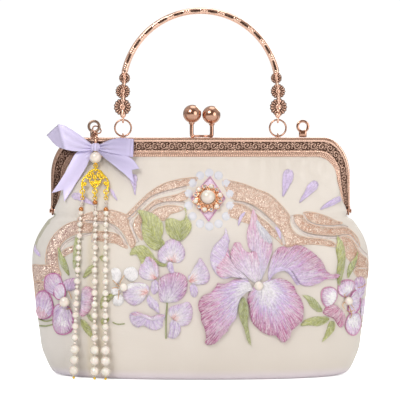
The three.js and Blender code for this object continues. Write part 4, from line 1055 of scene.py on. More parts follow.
# Charm: trigger clasp, satin bow, pearl, filigree connector and three strings of pearls
charmSet = {
    "knot": (-71.6, -9.85, 156.3), "knotSize": (6.8, 5.0, 5.4), "ribbonBack": -7.05, "pearl": 8.3,
    "ribbonWidth": 25.0, "thick": 0.3, "connector": (19.2, 19.8), "wire": 0.85,
}
# edges of the ribbon from the knot outwards, seen from the front: (across, height) from the knot
bowEdges = {
    "bowLoopLeft": {
        "high": [(-2.6, 1.9), (-7, 5.6), (-12.6, 9.8), (-20.4, 14.6), (-25.2, 15.7)],
        "low": [(-2.6, -1.9), (-9, -2.6), (-17, -2.2), (-26, 0.6), (-33.4, 8.2)],
        "node": "bow_loop_left", "flat": (0.017, 0.062), "shades": (1.0, 1.06),
        "mouth": ((-25.5, 15.9), (-20.6, -1.2)),
    },
    "bowLoopRight": {
        "high": [(2.6, 1.7), (6.5, 3.6), (11, 5.4), (18, 6.4), (26.1, 5.7)],
        "low": [(2.6, -1.7), (8, -3.2), (14.5, -4.6), (20, -5.9), (25.6, -6.9)],
        "node": "bow_loop_right", "flat": (0.013, 0.052), "shades": (0.74, 0.95),
        "mouth": ((24.4, 5.9), (23.6, -6.6)),
    },
}
tailEdges = {
    "bowTailLeft": {
        "high": [(-1.6, -1.2), (-7, -2.6), (-12.8, -3.4), (-16.5, -9), (-19.3, -15), (-24.4, -23.3),
                 (-29.8, -31.2)],
        "low": [(1.2, -2.0), (-3.4, -7.2), (-6, -12.5), (-9.4, -18.5), (-12.6, -23.5), (-17, -30.5),
                (-21, -36.8)],
        "notch": 0.14, "shades": (1.08, 1.16), "back": -8.2, "lean": 0.15,
        "node": "bow_tail_left", "flat": (0.012, 0.036),
    },
    "bowTailRight": {
        "high": [(1.4, -0.6), (8, -2.6), (14, -4), (20.5, -5.6), (25.6, -8.4), (30.2, -14.4)],
        "low": [(0.4, -2.4), (5.4, -6.6), (11.7, -11.5), (16, -15), (20.2, -18.2), (26.8, -24.6)],
        "notch": 0.16, "shades": (0.78, 0.98), "back": -8.6, "lean": 0.36,
        "node": "bow_tail_right", "flat": (0.014, 0.03),
    },
}


def ribbonPiece(name, points, shades, rows, columns, node):
    tints = np.repeat(np.ravel(shades)[:, None], 3, axis=1)
    piece = addMesh(name, (points, gridFaces(rows, columns)), lilacRibbon, tints=tints)
    solid = piece.modifiers.new("thickness", "SOLIDIFY")
    solid.thickness = charmSet["thick"] * 0.001
    solid.offset = 0
    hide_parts(node)
    return piece


def beyondMouth(flatPoint, mouth):
    # how far a place lies beyond the front ribbon's edge, where the loop's inside shows
    start, end = np.array(mouth[0]), np.array(mouth[1])
    along = unit(end - start)
    side = np.sign(start[0])
    return (flatPoint - start) @ np.array([-along[1], along[0]]) * side


def makeLoop(name, edges):
    knot = np.array(charmSet["knot"])
    rows, columns = 66, 21
    high, low = curveThrough(edges["high"], 34), curveThrough(edges["low"], 34)
    across = np.linspace(0, 1, columns)
    sheet, shades = [], []
    for row in range(rows):
        back = row > 33
        step = row if not back else 66 - row
        t = min(step, 33) / 33
        i = min(33, step)
        top, bottom = high[i], low[i]
        flatPoint = top[None] * (1 - across[:, None]) + bottom[None] * across[:, None]
        if back:
            # the back layer lies a little inside the front one, so the loop shows its mouth
            flatPoint = flatPoint * [0.97, 0.93] + [0, 0.25]
        swell = math.sin(math.pi * min(1, t * 1.05) ** 0.8)
        crease = np.cos(across * math.pi * 5 + 0.6) * 0.7 * (1 - t) ** 1.2
        roll = 0.5 * np.sin(across * math.pi)
        if back:
            y = 1.3 - 0.2 * swell + 0.4 * crease
        else:
            y = -0.6 - 2.6 * swell * (0.55 + roll) + crease
        turning = smoothStep(0.88, 1.0, t)
        y = y * (1 - turning) + 0.25 * turning + 0.25 * np.sin(across * 6 + 1) * turning
        beyond = beyondMouth(flatPoint, edges["mouth"])
        inside = smoothStep(0, 0.5, beyond)
        # painted shade: each loop runs darker or lighter across its width, and darker in the creases near
        # the knot
        shade = edges["shades"][0] * (1 - across) + edges["shades"][1] * across
        shade = shade - 0.12 * (1 - t) ** 2 * (1 + np.cos(across * math.pi * 5 + 0.6))
        if not back:
            y = y + 1.5 * inside * (1 - turning)
            # painted highlight along the front ribbon's edge where the loop's mouth opens
            shade = shade + 0.07 * np.exp(-((beyond + 1.2) / 1.1) ** 2)
        # painted shade inside the left loop's mouth, painted light inside the right loop's
        side = 0.72 if knot[0] + flatPoint[0, 0] < knot[0] else 1.18
        shades.append(shade * (1 + (side - 1) * inside))
        sheet.append(np.stack([knot[0] + flatPoint[:, 0], np.full(columns, knot[1]) + y,
                               knot[2] + flatPoint[:, 1]], -1))
    ribbonPiece(name, np.concatenate(sheet), shades, rows, columns, edges["node"])


def makeTail(name, edges):
    knot = np.array(charmSet["knot"])
    rows, columns = 40, 21
    high, low = curveThrough(edges["high"], 200), curveThrough(edges["low"], 200)
    across = np.linspace(0, 1, columns)
    sheet, shades = [], []
    for row in range(rows):
        t = row / (rows - 1)
        reach = t * (1 - edges["notch"] * (1 - np.abs(2 * across - 1)) * smoothStep(0.4, 1, t))
        at = reach * 199
        top = np.stack([np.interp(at, np.arange(200), high[:, k]) for k in (0, 1)], -1)
        bottom = np.stack([np.interp(at, np.arange(200), low[:, k]) for k in (0, 1)], -1)
        flatPoint = top * (1 - across[:, None]) + bottom * across[:, None]
        fold = 0.55 * np.sin(across * math.pi * 1.4 + t * 2.4) * smoothStep(0, 0.3, t)
        crease = np.cos(across * math.pi * 4) * 0.45 * (1 - t) ** 2
        lean = edges["lean"] * np.minimum(0, flatPoint[:, 1])
        y = edges["back"] + lean - 0.5 - fold + crease
        # painted light and shade: the tail runs lighter or darker along its length, with painted light
        # and shade over its folds and painted shade near the knot
        shade = edges["shades"][0] * (1 - t) + edges["shades"][1] * t
        shades.append(shade + 0.09 * np.sin(across * math.pi * 1.4 + t * 2.4 + 0.9) - 0.1 * (1 - t) ** 3)
        sheet.append(np.stack([knot[0] + flatPoint[:, 0], y, knot[2] + flatPoint[:, 1]], -1))
    ribbonPiece(name, np.concatenate(sheet), shades, rows, columns, edges["node"])


def makeKnot():
    rows, columns = 40, 36
    turn = np.linspace(0, 2 * math.pi, columns, endpoint=False)
    way = np.linspace(0.04, math.pi - 0.04, rows)
    w, t = np.meshgrid(way, turn, indexing="ij")
    size = charmSet["knotSize"]
    # a ribbon wrapped round: rounded box with folds that run over it from top to bottom
    x = size[0] / 2 * np.sign(np.cos(w)) * np.abs(np.cos(w)) ** 0.8
    folds = 1 + 0.055 * np.sin(w * 13 + 0.7 * np.sin(t)) + 0.03 * np.sin(w * 7 + t)
    radius = np.abs(np.sin(w)) ** 0.45 * folds
    y = size[1] / 2 * radius * np.cos(t)
    z = size[2] / 2 * radius * np.sin(t) * (1 - 0.12 * np.cos(2 * w))
    points = np.stack([x, y, z], -1).reshape(-1, 3) + np.array(charmSet["knot"])
    faces = gridFaces(rows, columns, wrapColumns=True)
    faces += [list(range(columns))[::-1], [(rows - 1) * columns + i for i in range(columns)]]
    # painted shade and highlight along the knot's folds
    tints = np.repeat((0.86 + 0.16 * np.sin(w * 13 + 0.7 * np.sin(t)))
                      .reshape(-1, 1), 3, axis=1)
    piece = addMesh("bowKnot", (points, faces), lilacRibbon, tints=tints)
    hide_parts("bow_knot")


def boxMiddle(node):
    low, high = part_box(node)
    return np.array((low + high) / 2) * 1000


def makeClasp():
    # jump ring through the lug, then the trigger clasp with its lever
    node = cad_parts["charm_ring"]
    corners = np.array([v.co for v in node.data.vertices]) * 1000
    centre = corners.mean(0)
    axis = np.linalg.svd(corners - centre)[2][2]
    ring = torus(centre, 3.1, 1.0, axis, 64, 14)
    piece = addMesh("charmRing", ring, polishedGold)
    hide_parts("charm_ring")
    high = np.array(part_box("charm_clasp")[1]) * 1000
    knot = np.array(charmSet["knot"])
    foot = np.array([knot[0], knot[1], knot[2] + 2.7])
    body = np.array([v.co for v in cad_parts["charm_clasp"].data.vertices]) * 1000
    topPart = body[body[:, 2] > high[2] - 3.2]
    eye = topPart.mean(0)
    middle = eye * 0.45 + foot * 0.55
    spine = curveThrough([eye + [0, 0.1, -1.4], middle + [0.9, 0, 0.5], middle + [0.9, 0, -0.6], foot],
                         30)
    thick = 1.5 + 1.3 * np.sin(np.linspace(0.15, math.pi - 0.15, 30))
    lever = curveThrough([middle + [0.2, -0.2, 0.6], middle + [-2.6, -0.3, 0.4],
                          middle + [-4.6, -0.3, -0.3], middle + [-5.6, -0.3, -0.2]], 24)
    grip = np.interp(np.linspace(0, 1, 24), [0, 0.7, 0.9, 1], [1.0, 1.1, 1.7, 1.3])
    claspAxis = np.linalg.svd(topPart - topPart.mean(0))[2][2]
    shape = merged(torus(eye, 1.75, 1.0, claspAxis, 36, 10), tube(spine, thick, 14),
                   tube(lever, grip, 12, (0, 1, 0)), sphere(foot + [0, 0, 0.5], 2.0, 20))
    piece = addMesh("charmClasp", shape, polishedGold)
    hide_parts("charm_clasp")


def twirl(centre, radius, turns, start, direction, end=0.35):
    # a scroll of wire that winds in towards its middle
    t = np.linspace(0, 1, 40)
    reach = radius * (1 - (1 - end) * t)
    angle = start + direction * turns * 2 * math.pi * t
    return np.stack([centre[0] + reach * np.cos(angle), np.zeros(40),
                     centre[1] + reach * np.sin(angle)], -1)


def makeConnector():
    # cast filigree: scrolls of beaded wire on a fan with three lobes, drawn down from its eye
    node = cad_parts["charm_connector"]
    corners = np.array([v.co for v in node.data.vertices]) * 1000
    lowLobe = corners[corners[:, 2] < corners[:, 2].min() + 3.0]
    eyePart = corners[corners[:, 2] > corners[:, 2].max() - 2.2]
    top = np.array([charmSet["knot"][0], eyePart[:, 1].mean(), eyePart[:, 2].mean()])
    bottom = np.array([top[0], lowLobe[:, 1].mean(), corners[:, 2].min() + 1.9])
    down = unit(bottom - top)
    length = np.linalg.norm(bottom - top)
    forward = np.cross([1, 0, 0], down)
    wires = []
    for side in (-1, 1):
        wires.append((curveThrough([(side * 0.4, 0, -1.6), (side * 3.6, 0, -3.2), (side * 5.4, 0, -5.6),
                                    (side * 8.2, 0, -9.0), (side * 9.0, 0, -13), (side * 8.4, 0, -16.4)],
                                   60), 1.3))
        wires.append((twirl((side * 4.6, -6.9), 2.3, 1.25, math.pi / 2, side), 0.95))
        wires.append((twirl((side * 7.2, -12.2), 1.5, 1.2, math.pi, -side), 0.9))
        wires.append((twirl((side * 1.8, -11.4), 1.5, 1.3, 0.4, side), 0.9))
        wires.append((twirl((side * 2.5, -4.6), 1.3, 1.2, -1.0, -side), 0.8))
        wires.append((curveThrough([(side * 3.4, 0, -8.4), (side * 3.7, 0, -10.2), (side * 2.6, 0, -12.6),
                                    (side * 0.6, 0, -15.0)], 30), 1.0))
    wires.append((twirl((0.0, -7.6), 1.9, 1.1, 0.0, 1), 0.95))
    wires.append((curveThrough([(0, 0, -7.4), (0, 0, -9.6), (0, 0, -12.6), (0, 0, -16.2)], 40), 1.1))
    shapes = []
    for line, wire in wires:
        flat = np.asarray(line)
        scale = length / 17.85
        ripple = 1 + 0.16 * np.sin(np.arange(len(flat)) * 1.25)
        place = top + np.outer(flat[:, 0], [1, 0, 0]) + np.outer(-flat[:, 2] * scale, down)
        shapes.append(tube(place, wire * 1.05 * ripple, 9, tuple(forward)))
    for across in (-8.4, 0.0, 7.6):
        at = top + np.array([across, 0, 0]) + down * length
        shapes.append(torus(at, 1.55, 0.85, forward, 28, 8))
    for across, drop in ((0, 2.6), (-4.6, 6.9), (4.6, 6.9), (0, 7.6), (-7.2, 12.2), (7.2, 12.2),
                         (-1.8, 11.4), (1.8, 11.4), (0, 13.4), (-8.6, 14.6), (8.4, 14.6)):
        at = top + np.array([across, 0, 0]) + down * drop * length / 17.85 - forward * 0.0
        shapes.append(sphere(at, 1.5, 14))
    shapes.append(torus(top, 1.3, 0.8, (1, 0, 0), 28, 8))
    piece = addMesh("filigree", merged(*shapes), yellowGold)
    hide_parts("charm_connector")


def makePin():
    low, high = (np.array(corner) * 1000 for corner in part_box("charm_pin"))
    x, y = charmSet["knot"][:2]
    pearl = boxMiddle("charm_pearl")
    cap = [(0.01, 0), (0.5, 0.02), (1.5, -0.5), (2.0, -1.1), (1.9, -1.15), (0.01, -0.5)]
    shapes = [tube([(x, y, high[2] + 0.1), (x, y, low[2] + 2.6)], 0.8, 10, (0, 1, 0)),
              torus((x, y, low[2] + 1.7), 1.3, 0.75, (0, 1, 0), 32, 8),
              placed(lathe(cap[::-1], 24), (x, y, pearl[2] + 4.45)),
              placed(lathe(cap[::-1], 24), (x, y, pearl[2] - 4.45), (0, 0, -1))]
    piece = addMesh("charmPin", merged(*shapes), yellowGold)
    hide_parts("charm_pin")
    piece = addMesh("charmPearl", boredBead(pearl, charmSet["pearl"], 0.6, around=40), pearlWhite)
    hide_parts("charm_pearl")


stringSet = {"thread": 0.5, "seed": 2.3, "top": 3.8, "low": 5.1, "drop": 6.6, "crimp": 2.2,
             "mains": 12, "own": 4, "drops": 3, "floorRoom": 0.4}


def makeString(name):
    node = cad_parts["pearl_string_" + name]
    corners = np.array([v.co for v in node.data.vertices]) * 1000
    topZ = corners[:, 2].max() - 2.8
    dropPitch = stringSet["drop"] + 0.6
    lowestMain = (stringSet["floorRoom"] + stringSet["crimp"] + stringSet["drops"] * dropPitch + 1.9
                  + stringSet["low"] / 2)
    firstMain = topZ - 9
    pitch = (firstMain - lowestMain) / (stringSet["mains"] - 1)
    ownPearls = [boxMiddle(f"pearl_{name}_{i + 1}") for i in range(stringSet["own"] + stringSet["drops"])]
    own = np.array(ownPearls)[::-1]

    def centreAt(z):
        # the middle of what the solid has near this height, or the pearls of their own
        near = corners[np.abs(corners[:, 2] - z) < 1.3]
        if z < own[-1, 2] + 2:
            return np.array([np.interp(z, own[:, 2], own[:, 0]), np.interp(z, own[:, 2], own[:, 1]), z])
        return np.array([(near[:, 0].min() + near[:, 0].max()) / 2,
                         (near[:, 1].min() + near[:, 1].max()) / 2, z])

    mains, seeds = [], []
    for i in range(stringSet["mains"]):
        share = i / (stringSet["mains"] - 1)
        z = firstMain - i * pitch
        diameter = stringSet["top"] * (1 - share) + stringSet["low"] * share
        if i < stringSet["mains"] - stringSet["own"]:
            mains.append((centreAt(z), diameter))
        if i < stringSet["mains"] - 1:
            seeds.append((centreAt(z - pitch / 2), min(2.6, pitch - diameter + 0.1)))
    topBeads = [centreAt(topZ - drop) for drop in (1.9, 4.3, 6.5)]
    seeds.append((centreAt(lowestMain - stringSet["low"] / 2 - 1.1), 2.0))
    line = [centreAt(z) for z in np.linspace(topZ - 0.8, own[0, 2], 40)]
    line = [np.array([line[0][0], line[0][1], topZ])] + line
    line.append(np.array([own[0, 0], own[0, 1], stringSet["floorRoom"] + 0.3]))
    addMesh("thread" + name.title(), tube(np.array(line), stringSet["thread"], 8, (0, 1, 0)),
            pearlThread)
    beads = [boredBead(at, size, 0.35, around=26) for at, size in mains]
    piece = addMesh("pearlRow" + name.title(), merged(*beads), pearlWhite)
    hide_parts("pearl_string_" + name)
    addMesh("seedBeads" + name.title(), merged(*[boredBead(at, size, 0.3, around=16)
                                                 for at, size in seeds]), pearlWhite)
    eye = np.array([line[0][0], line[0][1], topZ + 1.2])
    low = np.array([own[0, 0], own[0, 1], stringSet["floorRoom"] + stringSet["crimp"] / 2])
    metal = [torus(eye, 1.2, 0.6, (0, 1, 0), 28, 8), sphere(low, 1.9, 18)]
    addMesh("stringEnds" + name.title(), merged(*metal), yellowGold)
    # one top bead is a copper crimp, the highest on the centre string and the lowest on the others; the
    # rest are glass
    crimpAt = topBeads.pop(0 if name == "centre" else 2)
    addMesh("crimpBead" + name.title(), boredBead(crimpAt, 3.3, 0.4, around=20), copper)
    addMesh("glassBeads" + name.title(),
            merged(*[boredBead(at, 2.2, 0.4, around=16) for at in topBeads]), glassBead)
    ring = boxMiddle("string_ring_" + name)
    piece = addMesh("stringRing" + name.title(), torus(ring, 2.2, 0.75, (1, 0, 0), 36, 10),
                    yellowGold)
    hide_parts("string_ring_" + name)
    for i, at in enumerate(ownPearls):
        node = f"pearl_{name}_{i + 1}"
        low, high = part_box(node)
        bead = boredBead(at, (high.z - low.z) * 1000 + 0.1, 0.4, around=32)
        piece = addMesh(f"pearl{name.title()}{i + 1}", bead, pearlWhite)
        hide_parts(node)


makeKnot()
for name, edges in bowEdges.items():
    makeLoop(name, edges)
for name, edges in tailEdges.items():
    makeTail(name, edges)
makeClasp()
makePin()
makeConnector()
for name in ("left", "centre", "right"):
    makeString(name)
print("charm made")

# Brooch
broochSet = {"place": (5.0, 120.0), "lift": 1.5, "upright": 0.45, "pearlRise": 3.8, "pearl": 9.6,
             "stones": 12, "circle": 8.5}


def makeBrooch():
    middle = boxMiddle("brooch_setting")
    pearl = boxMiddle("brooch_pearl")
    axis = unit(pearl - middle)
    # it leans back a little less than the cloth, so that the lower rim stands clear of it
    axis = unit(axis + [0, -broochSet["upright"], 0])
    base = onCloth([broochSet["place"]], broochSet["lift"])[0]
    pearl = base + axis * broochSet["pearlRise"]

    def seated(shape, centre=(0, 0, 0)):
        return placed(placed(shape, centre), base, axis)

    plate = seated(lathe([(0.01, 0), (8.0, 0), (8.7, 0.3), (8.9, 0.6), (8.6, 0.9), (8.0, 0.95),
                          (6.6, 0.9), (6.2, 1.4), (5.5, 2.1), (5.2, 2.9), (4.95, 2.8), (5.0, 1.6),
                          (4.2, 1.0), (0.01, 0.9)], 72))
    gold = [plate]
    for i in range(40):
        turn = 2 * math.pi * i / 40
        gold.append(seated(sphere((5.35 * math.cos(turn), 5.35 * math.sin(turn), 2.75), 0.85, 10)))
    smallPearls, crystals = [], []
    for i in range(broochSet["stones"]):
        turn = 2 * math.pi * i / broochSet["stones"] + math.pi / 12
        at = np.array([broochSet["circle"] * math.cos(turn), broochSet["circle"] * math.sin(turn), 1.6])
        size = 3.4 if i % 2 == 0 else 2.7
        gold.append(seated(torus(at - [0, 0, 0.35], size / 2 + 0.12, 0.6, (0, 0, 1), 24, 8)))
        for k in range(4):
            prong = turn + math.pi / 4 + k * math.pi / 2
            tip = at + [(size / 2 + 0.1) * math.cos(prong), (size / 2 + 0.1) * math.sin(prong), 0.3]
            gold.append(seated(sphere(tip, 0.7, 8)))
        if i % 2 == 0:
            smallPearls.append(seated(sphere(at + [0, 0, 0.25], size, 20)))
        else:
            crystals.append(seated(lathe([(0.01, -0.9), (size / 2, 0.0), (size / 2, 0.2),
                                          (size * 0.3, 0.75), (0.01, 0.75)], 8), at))
    piece = addMesh("broochSetting", merged(*gold), warmGold)
    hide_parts("brooch_setting")
    addMesh("broochPearls", merged(*smallPearls), pearlWhite)
    addMesh("broochCrystals", merged(*crystals), crystal, smooth=False)
    piece = addMesh("broochPearl", sphere(pearl, broochSet["pearl"], 48), pearlWhite)
    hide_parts("brooch_pearl")


makeBrooch()
for node in ("pearl_orchid", "pearl_white_flower", "pearl_left_flower", "pearl_right_flower"):
    low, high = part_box(node)
    at = boxMiddle(node)
    size = (high.z - low.z) * 1000
    piece = addMesh(node.title().replace("_", ""), sphere(at, size, 36), pearlWhite)
    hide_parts(node)
print("brooch and flower pearls made")

# Embroidery, as the camera sees it: across from the middle and height, in millimetres.
# Threads run out from each petal's root.
petals = [
    {"name": "orchidTop", "threads": "pinkTip", "layer": 2, "puff": 1.3,
     "root": (40.6, 57.6), "outline": [
        36, 114.1, 38.3, 110.2, 39.2, 106.5, 42.5, 101.4, 47.1, 96.3, 49.1, 91.7, 49.6, 86.2,
        48.4, 81.6, 47.1, 77, 44.8, 71.4, 42.9, 66.8, 41.1, 63.6, 40.1, 68.7, 39.5, 76.1, 38.3, 81.6,
        35.3, 83.9, 32.9, 88, 31.9, 93.6, 32.3, 99.1, 33.7, 103.7, 34.6, 108.3,
     ]},
    {"name": "orchidTopFold", "threads": "silver", "layer": 4, "puff": 0.5, "raised": 1.3,
     "root": (38.8, 107.4), "outline": [
        38.5, 106, 42.5, 101.4, 47.1, 96.3, 49.1, 91.7, 48.4, 89, 44.3, 90.4, 40.6, 94.5, 38.5, 100,
     ]},
    {"name": "orchidFarLeft", "threads": "lilac", "layer": 1, "puff": 1.2,
     "root": (36, 62.2), "outline": [
        17.1, 101, 19, 95.4, 20.1, 91.7, 19.4, 88, 20.3, 81.6, 23.1, 75.1, 27.7, 70.5, 32.3, 65.9,
        33.2, 64.1, 27.7, 65.5, 23.1, 66.8, 18.5, 65.5, 14.8, 65.5, 10.7, 68.7, 7.9, 73.3, 6.5, 78.8,
        7.4, 84.4, 9.7, 89, 13.4, 92.7, 16.2, 96.3,
     ]},
    {"name": "orchidFarLeftFold", "threads": "pinkEdge", "layer": 3, "puff": 0.5, "raised": 1.2,
     "root": (35.1, 62.2), "outline": [
        19.4, 90.4, 20, 81.6, 22.6, 75.1, 27.3, 70.5, 31.9, 65.7, 25.9, 66.3, 19.4, 66.8, 14.8, 66.1,
        11.1, 69.1, 10.7, 73.3, 13.4, 77.9, 16.7, 81.6, 18.5, 86.2,
     ]},
    {"name": "orchidLeft", "threads": "pinkEdge", "layer": 4, "puff": 1.3,
     "root": (38.8, 59.5), "outline": [
        24, 90.8, 27.3, 90.4, 29.6, 86.2, 33.2, 83.9, 37.8, 85.3, 40.1, 81.6, 41.1, 76.1, 41.3, 68.7,
        40.6, 64.1, 38.3, 62.2, 36, 63.6, 32.3, 66.8, 26.8, 71, 22.2, 75.1, 20.3, 80.7, 21.3, 85.3,
        22.6, 89,
     ]},
    {"name": "orchidRight", "threads": "magentaEdge", "layer": 3, "puff": 1.5,
     "root": (42.9, 61.3), "outline": [
        46.6, 64.1, 46.6, 69.6, 48, 76.1, 49.8, 81.6, 52.6, 86.2, 56.3, 88, 60.9, 87.1, 65.5, 88.8,
        71, 88, 75.6, 85.3, 81.1, 80.7, 84.8, 76.1, 86.7, 71.4, 90.4, 68.7, 95, 69.1, 97.3, 69.8,
        95.9, 66.8, 91.3, 65.5, 86.7, 65, 82.1, 62.7, 77.5, 60.8, 71.9, 60.6, 68.2, 62.2, 65.5, 65.9,
        62.7, 69.6, 59, 71.4, 54.4, 71.9, 50.7, 70.5, 48.7, 66.8, 48, 63.6,
     ]},
    {"name": "orchidRightFold", "threads": "drop", "layer": 3, "puff": 0.6, "raised": 1.2,
     "root": (46.2, 61.5), "outline": [
        46.6, 64, 48.2, 69.8, 52.6, 73.4, 58.4, 73.5, 62.9, 70.5, 66.6, 64, 68.8, 61.4,
        67, 60.9, 64.9, 63, 61.5, 68.2, 57.8, 70.9, 53.4, 70.3, 49.5, 67, 47.8, 63.2,
     ]},
    {"name": "orchidLowRight", "threads": "magentaTip", "layer": 5, "puff": 1.7,
     "root": (42.5, 62.2), "outline": [
        36, 59.5, 41.5, 62.2, 48, 65, 55.4, 65.9, 60.9, 63.6, 64.6, 60.4, 66.4, 55.8, 69.2, 52.1,
        71, 46.5, 71, 41, 70.1, 36.4, 66.4, 32.7, 62.7, 29, 61.8, 25.3, 59, 22.1, 56.3, 21.6,
        53.5, 24.4, 51.7, 26.3, 48, 26.3, 42.5, 28.6, 38.8, 31.8, 35.5, 35.5, 34.2, 40.1, 33.7, 45.6,
        32.3, 50.2, 33.2, 54.8,
     ]},
    {"name": "orchidLowLeft", "threads": "magentaTip", "layer": 5, "puff": 1.6,
     "root": (37.8, 62.2), "outline": [
        36.5, 57.6, 32.3, 56.2, 28.6, 53.5, 26.3, 48.4, 25.4, 42.9, 24, 37.3, 20.3, 33.6, 18.5, 29,
        14.4, 25.3, 11.1, 21.6, 6.5, 19.8, 3.3, 20.7, 3.8, 25.3, 2.8, 30.9, 0.5, 36.4, 0.1, 41,
        -1.3, 44.7, -1.3, 49.3, 1.9, 53.9, 6.5, 55.8, 10.2, 59.5, 12.5, 64.1, 13.4, 62.2, 17.6, 62.2,
        23.1, 65, 29.6, 65, 34.2, 62.7,
     ]},
    {"name": "sprigTop", "threads": "coralHeart", "layer": 2, "puff": 1.2,
     "root": (-19.6, 75.6), "outline": [
        -29.7, 81.6, -28.4, 86.2, -24.7, 90.8, -20.1, 93.1, -15.4, 92.2, -11.8, 88, -10.4, 83.4,
        -11.8, 78.8, -15.4, 76.5, -19.1, 77, -21.9, 77.9, -24.7, 76.1, -27.9, 77,
     ]},
    {"name": "sprigTopCurl", "threads": "lilac", "layer": 3, "puff": 0.9,
     "root": (-20.8, 77.9), "outline": [
        -22.4, 77, -22.8, 72.4, -20.1, 68.7, -17.8, 68.2, -18.2, 71.4, -19, 74.2, -19.1, 77,
     ]},
    {"name": "sprigFold", "threads": "coralHeart", "layer": 2, "puff": 1.2,
     "root": (-30.2, 65), "outline": [
        -36.7, 81.6, -33.9, 79.7, -30.7, 77, -29.3, 72.4, -29.3, 66.8, -31.1, 65, -35.7, 64.5,
        -40.4, 65.9, -42.7, 69.6, -41.3, 75.1, -39, 78.8,
     ]},
    {"name": "sprigFoldEdge", "threads": "pinkEdge", "layer": 4, "puff": 0.4, "raised": 1.6,
     "root": (-30.7, 65.5), "outline": [
        -36.2, 81.1, -33, 79.3, -30.2, 76.1, -28.9, 71.9, -29, 66.8, -30.7, 66.8, -32.1, 71.4,
        -33.4, 76.1,
     ]},
    {"name": "sprigFoldLow", "threads": "lilac", "layer": 2, "puff": 0.9,
     "root": (-32.1, 65.5), "outline": [
        -31.1, 65, -28.8, 62.2, -28.8, 57.6, -32.1, 54.4, -34.4, 57.6, -33.9, 62.2,
     ]},
    {"name": "sprigRound", "threads": "mauveRound", "layer": 3, "puff": 1.5,
     "root": (-23.8, 47.5), "outline": [
        -29.3, 60.4, -28.8, 65, -25.6, 67.8, -21, 69.6, -15.4, 70.1, -10.8, 67.8, -9, 64.1, -9, 59.5,
        -10.4, 54.8, -13.6, 51.2, -18.2, 49.3, -23.8, 48.9, -27.9, 50.2, -28.8, 54.8,
     ]},
    {"name": "sprigRight", "threads": "coralHeart", "layer": 2, "puff": 1.2,
     "root": (-7.8, 63.6), "outline": [
        -0.4, 80.2, 1.9, 77.9, 5.1, 72.4, 6.7, 66.8, 4.7, 62.7, 0.5, 61.3, -3.6, 61.8, -7.3, 63.1,
        -8.7, 66.8, -6.4, 69.6, -4.1, 74.2, -2.2, 77,
     ]},
    {"name": "sprigRightLow", "threads": "lilac", "layer": 3, "puff": 1,
     "root": (-5.5, 62.7), "outline": [
        -7.5, 60.4, -4.5, 62.2, -2.2, 59.5, -1.6, 55.8, -3.6, 52.5, -6.4, 53.9, -7.3, 57.6,
     ]},
    {"name": "sprigWhite", "threads": "coralHeart", "layer": 2, "puff": 1.2,
     "root": (-36.2, 56.2), "outline": [
        -53.3, 57.6, -49.6, 61.3, -45, 63.1, -39.4, 62.7, -35.7, 60.4, -35.3, 56.7, -37.6, 53,
        -40.4, 49.3, -45, 47, -49.6, 48.4, -52.8, 52.1,
     ]},
    {"name": "sprigCurve", "threads": "lilac", "layer": 2, "puff": 0.9,
     "root": (-36.7, 55.3), "outline": [
        -35.7, 54.4, -33, 52.1, -29.3, 49.3, -28.4, 44.7, -28.4, 41.5, -32.1, 43.8, -35.7, 46.5,
        -37.1, 50.2,
     ]},
    {"name": "sprigLow", "threads": "lilac", "layer": 2, "puff": 1.2,
     "root": (-34.8, 41.9), "outline": [
        -49.1, 38.2, -48.2, 41.9, -44, 42.9, -38.5, 40.6, -33.9, 39.6, -29.3, 41, -24.2, 40.6,
        -25.6, 36.4, -26.5, 31.8, -31.1, 29.9, -35.7, 30.9, -39.4, 33.2, -43.1, 31.8, -46.8, 33.6,
     ]},
    {"name": "sprigLowEdge", "threads": "pinkEdge", "layer": 4, "puff": 0.4, "raised": 1.6,
     "root": (-33, 37.3), "outline": [
        -48.2, 41.9, -44, 42.7, -38.5, 41, -33.9, 39.6, -29.3, 41, -24.2, 40.6, -28.4, 38.4,
        -33.9, 36.9, -39.4, 39.2, -45, 40.6,
     ]},
    {"name": "sprigLowRight", "threads": "coralHeart", "layer": 2, "puff": 1.2,
     "root": (-20.1, 36.4), "outline": [
        -21.4, 40.1, -21.9, 44.7, -19.1, 47, -13.6, 48.4, -9, 49.8, -6.7, 48.4, -5.3, 43.8, -5.8, 38.2,
        -8.1, 34.1, -12.7, 32.7, -16.4, 35, -19.1, 37.3,
     ]},
    {"name": "sprigLowTail", "threads": "lilac", "layer": 3, "puff": 1.1,
     "root": (-17.3, 38.2), "outline": [
        -21.4, 34.6, -19.1, 37.3, -15.4, 35.9, -13.6, 31.8, -14.5, 27.2, -18.2, 24, -22.4, 25.3,
        -21.4, 29.9,
     ]},
    {"name": "leafTall", "threads": "leaf", "layer": 3, "puff": 1.3,
     "root": (-26.1, 86.7), "outline": [
        -44, 112.5, -40.4, 112.9, -33.9, 111.1, -29.3, 108.3, -26.1, 103.7, -25.6, 98.2, -26.5, 93.6,
        -23.8, 89.9, -27.4, 86.2, -32.1, 85.3, -37.6, 89.9, -39.9, 94.5, -40.4, 101, -40.4, 106.5,
        -42.2, 110.2,
     ]},
    {"name": "leafHeart", "threads": "leaf", "layer": 3, "puff": 1.3,
     "root": (-14.1, 91.7), "outline": [
        -12.2, 117.1, -9.9, 113.9, -9, 108.3, -6.2, 103.7, -6.7, 99.1, -9.9, 94.5, -14.5, 91.3,
        -20.1, 93.6, -23.3, 97.3, -24.2, 101.9, -23.8, 106.5, -19.1, 107.4, -14.5, 105.6, -11.3, 106.5,
        -10.4, 110.2,
     ]},
    {"name": "leafCurl", "threads": "leaf", "layer": 2, "puff": 1.1,
     "root": (-24.2, 75), "outline": [
        -48.7, 81.6, -47.3, 86.2, -43.1, 88.5, -38.5, 88.5, -34.8, 85.3, -32.1, 81.6, -29.3, 77.9,
        -24.7, 76.1, -22.8, 74.7, -26.5, 73.8, -32.1, 76.1, -36.7, 80.7, -38, 77, -40.4, 75.1,
        -42.7, 79.7, -45, 82.5,
     ]},
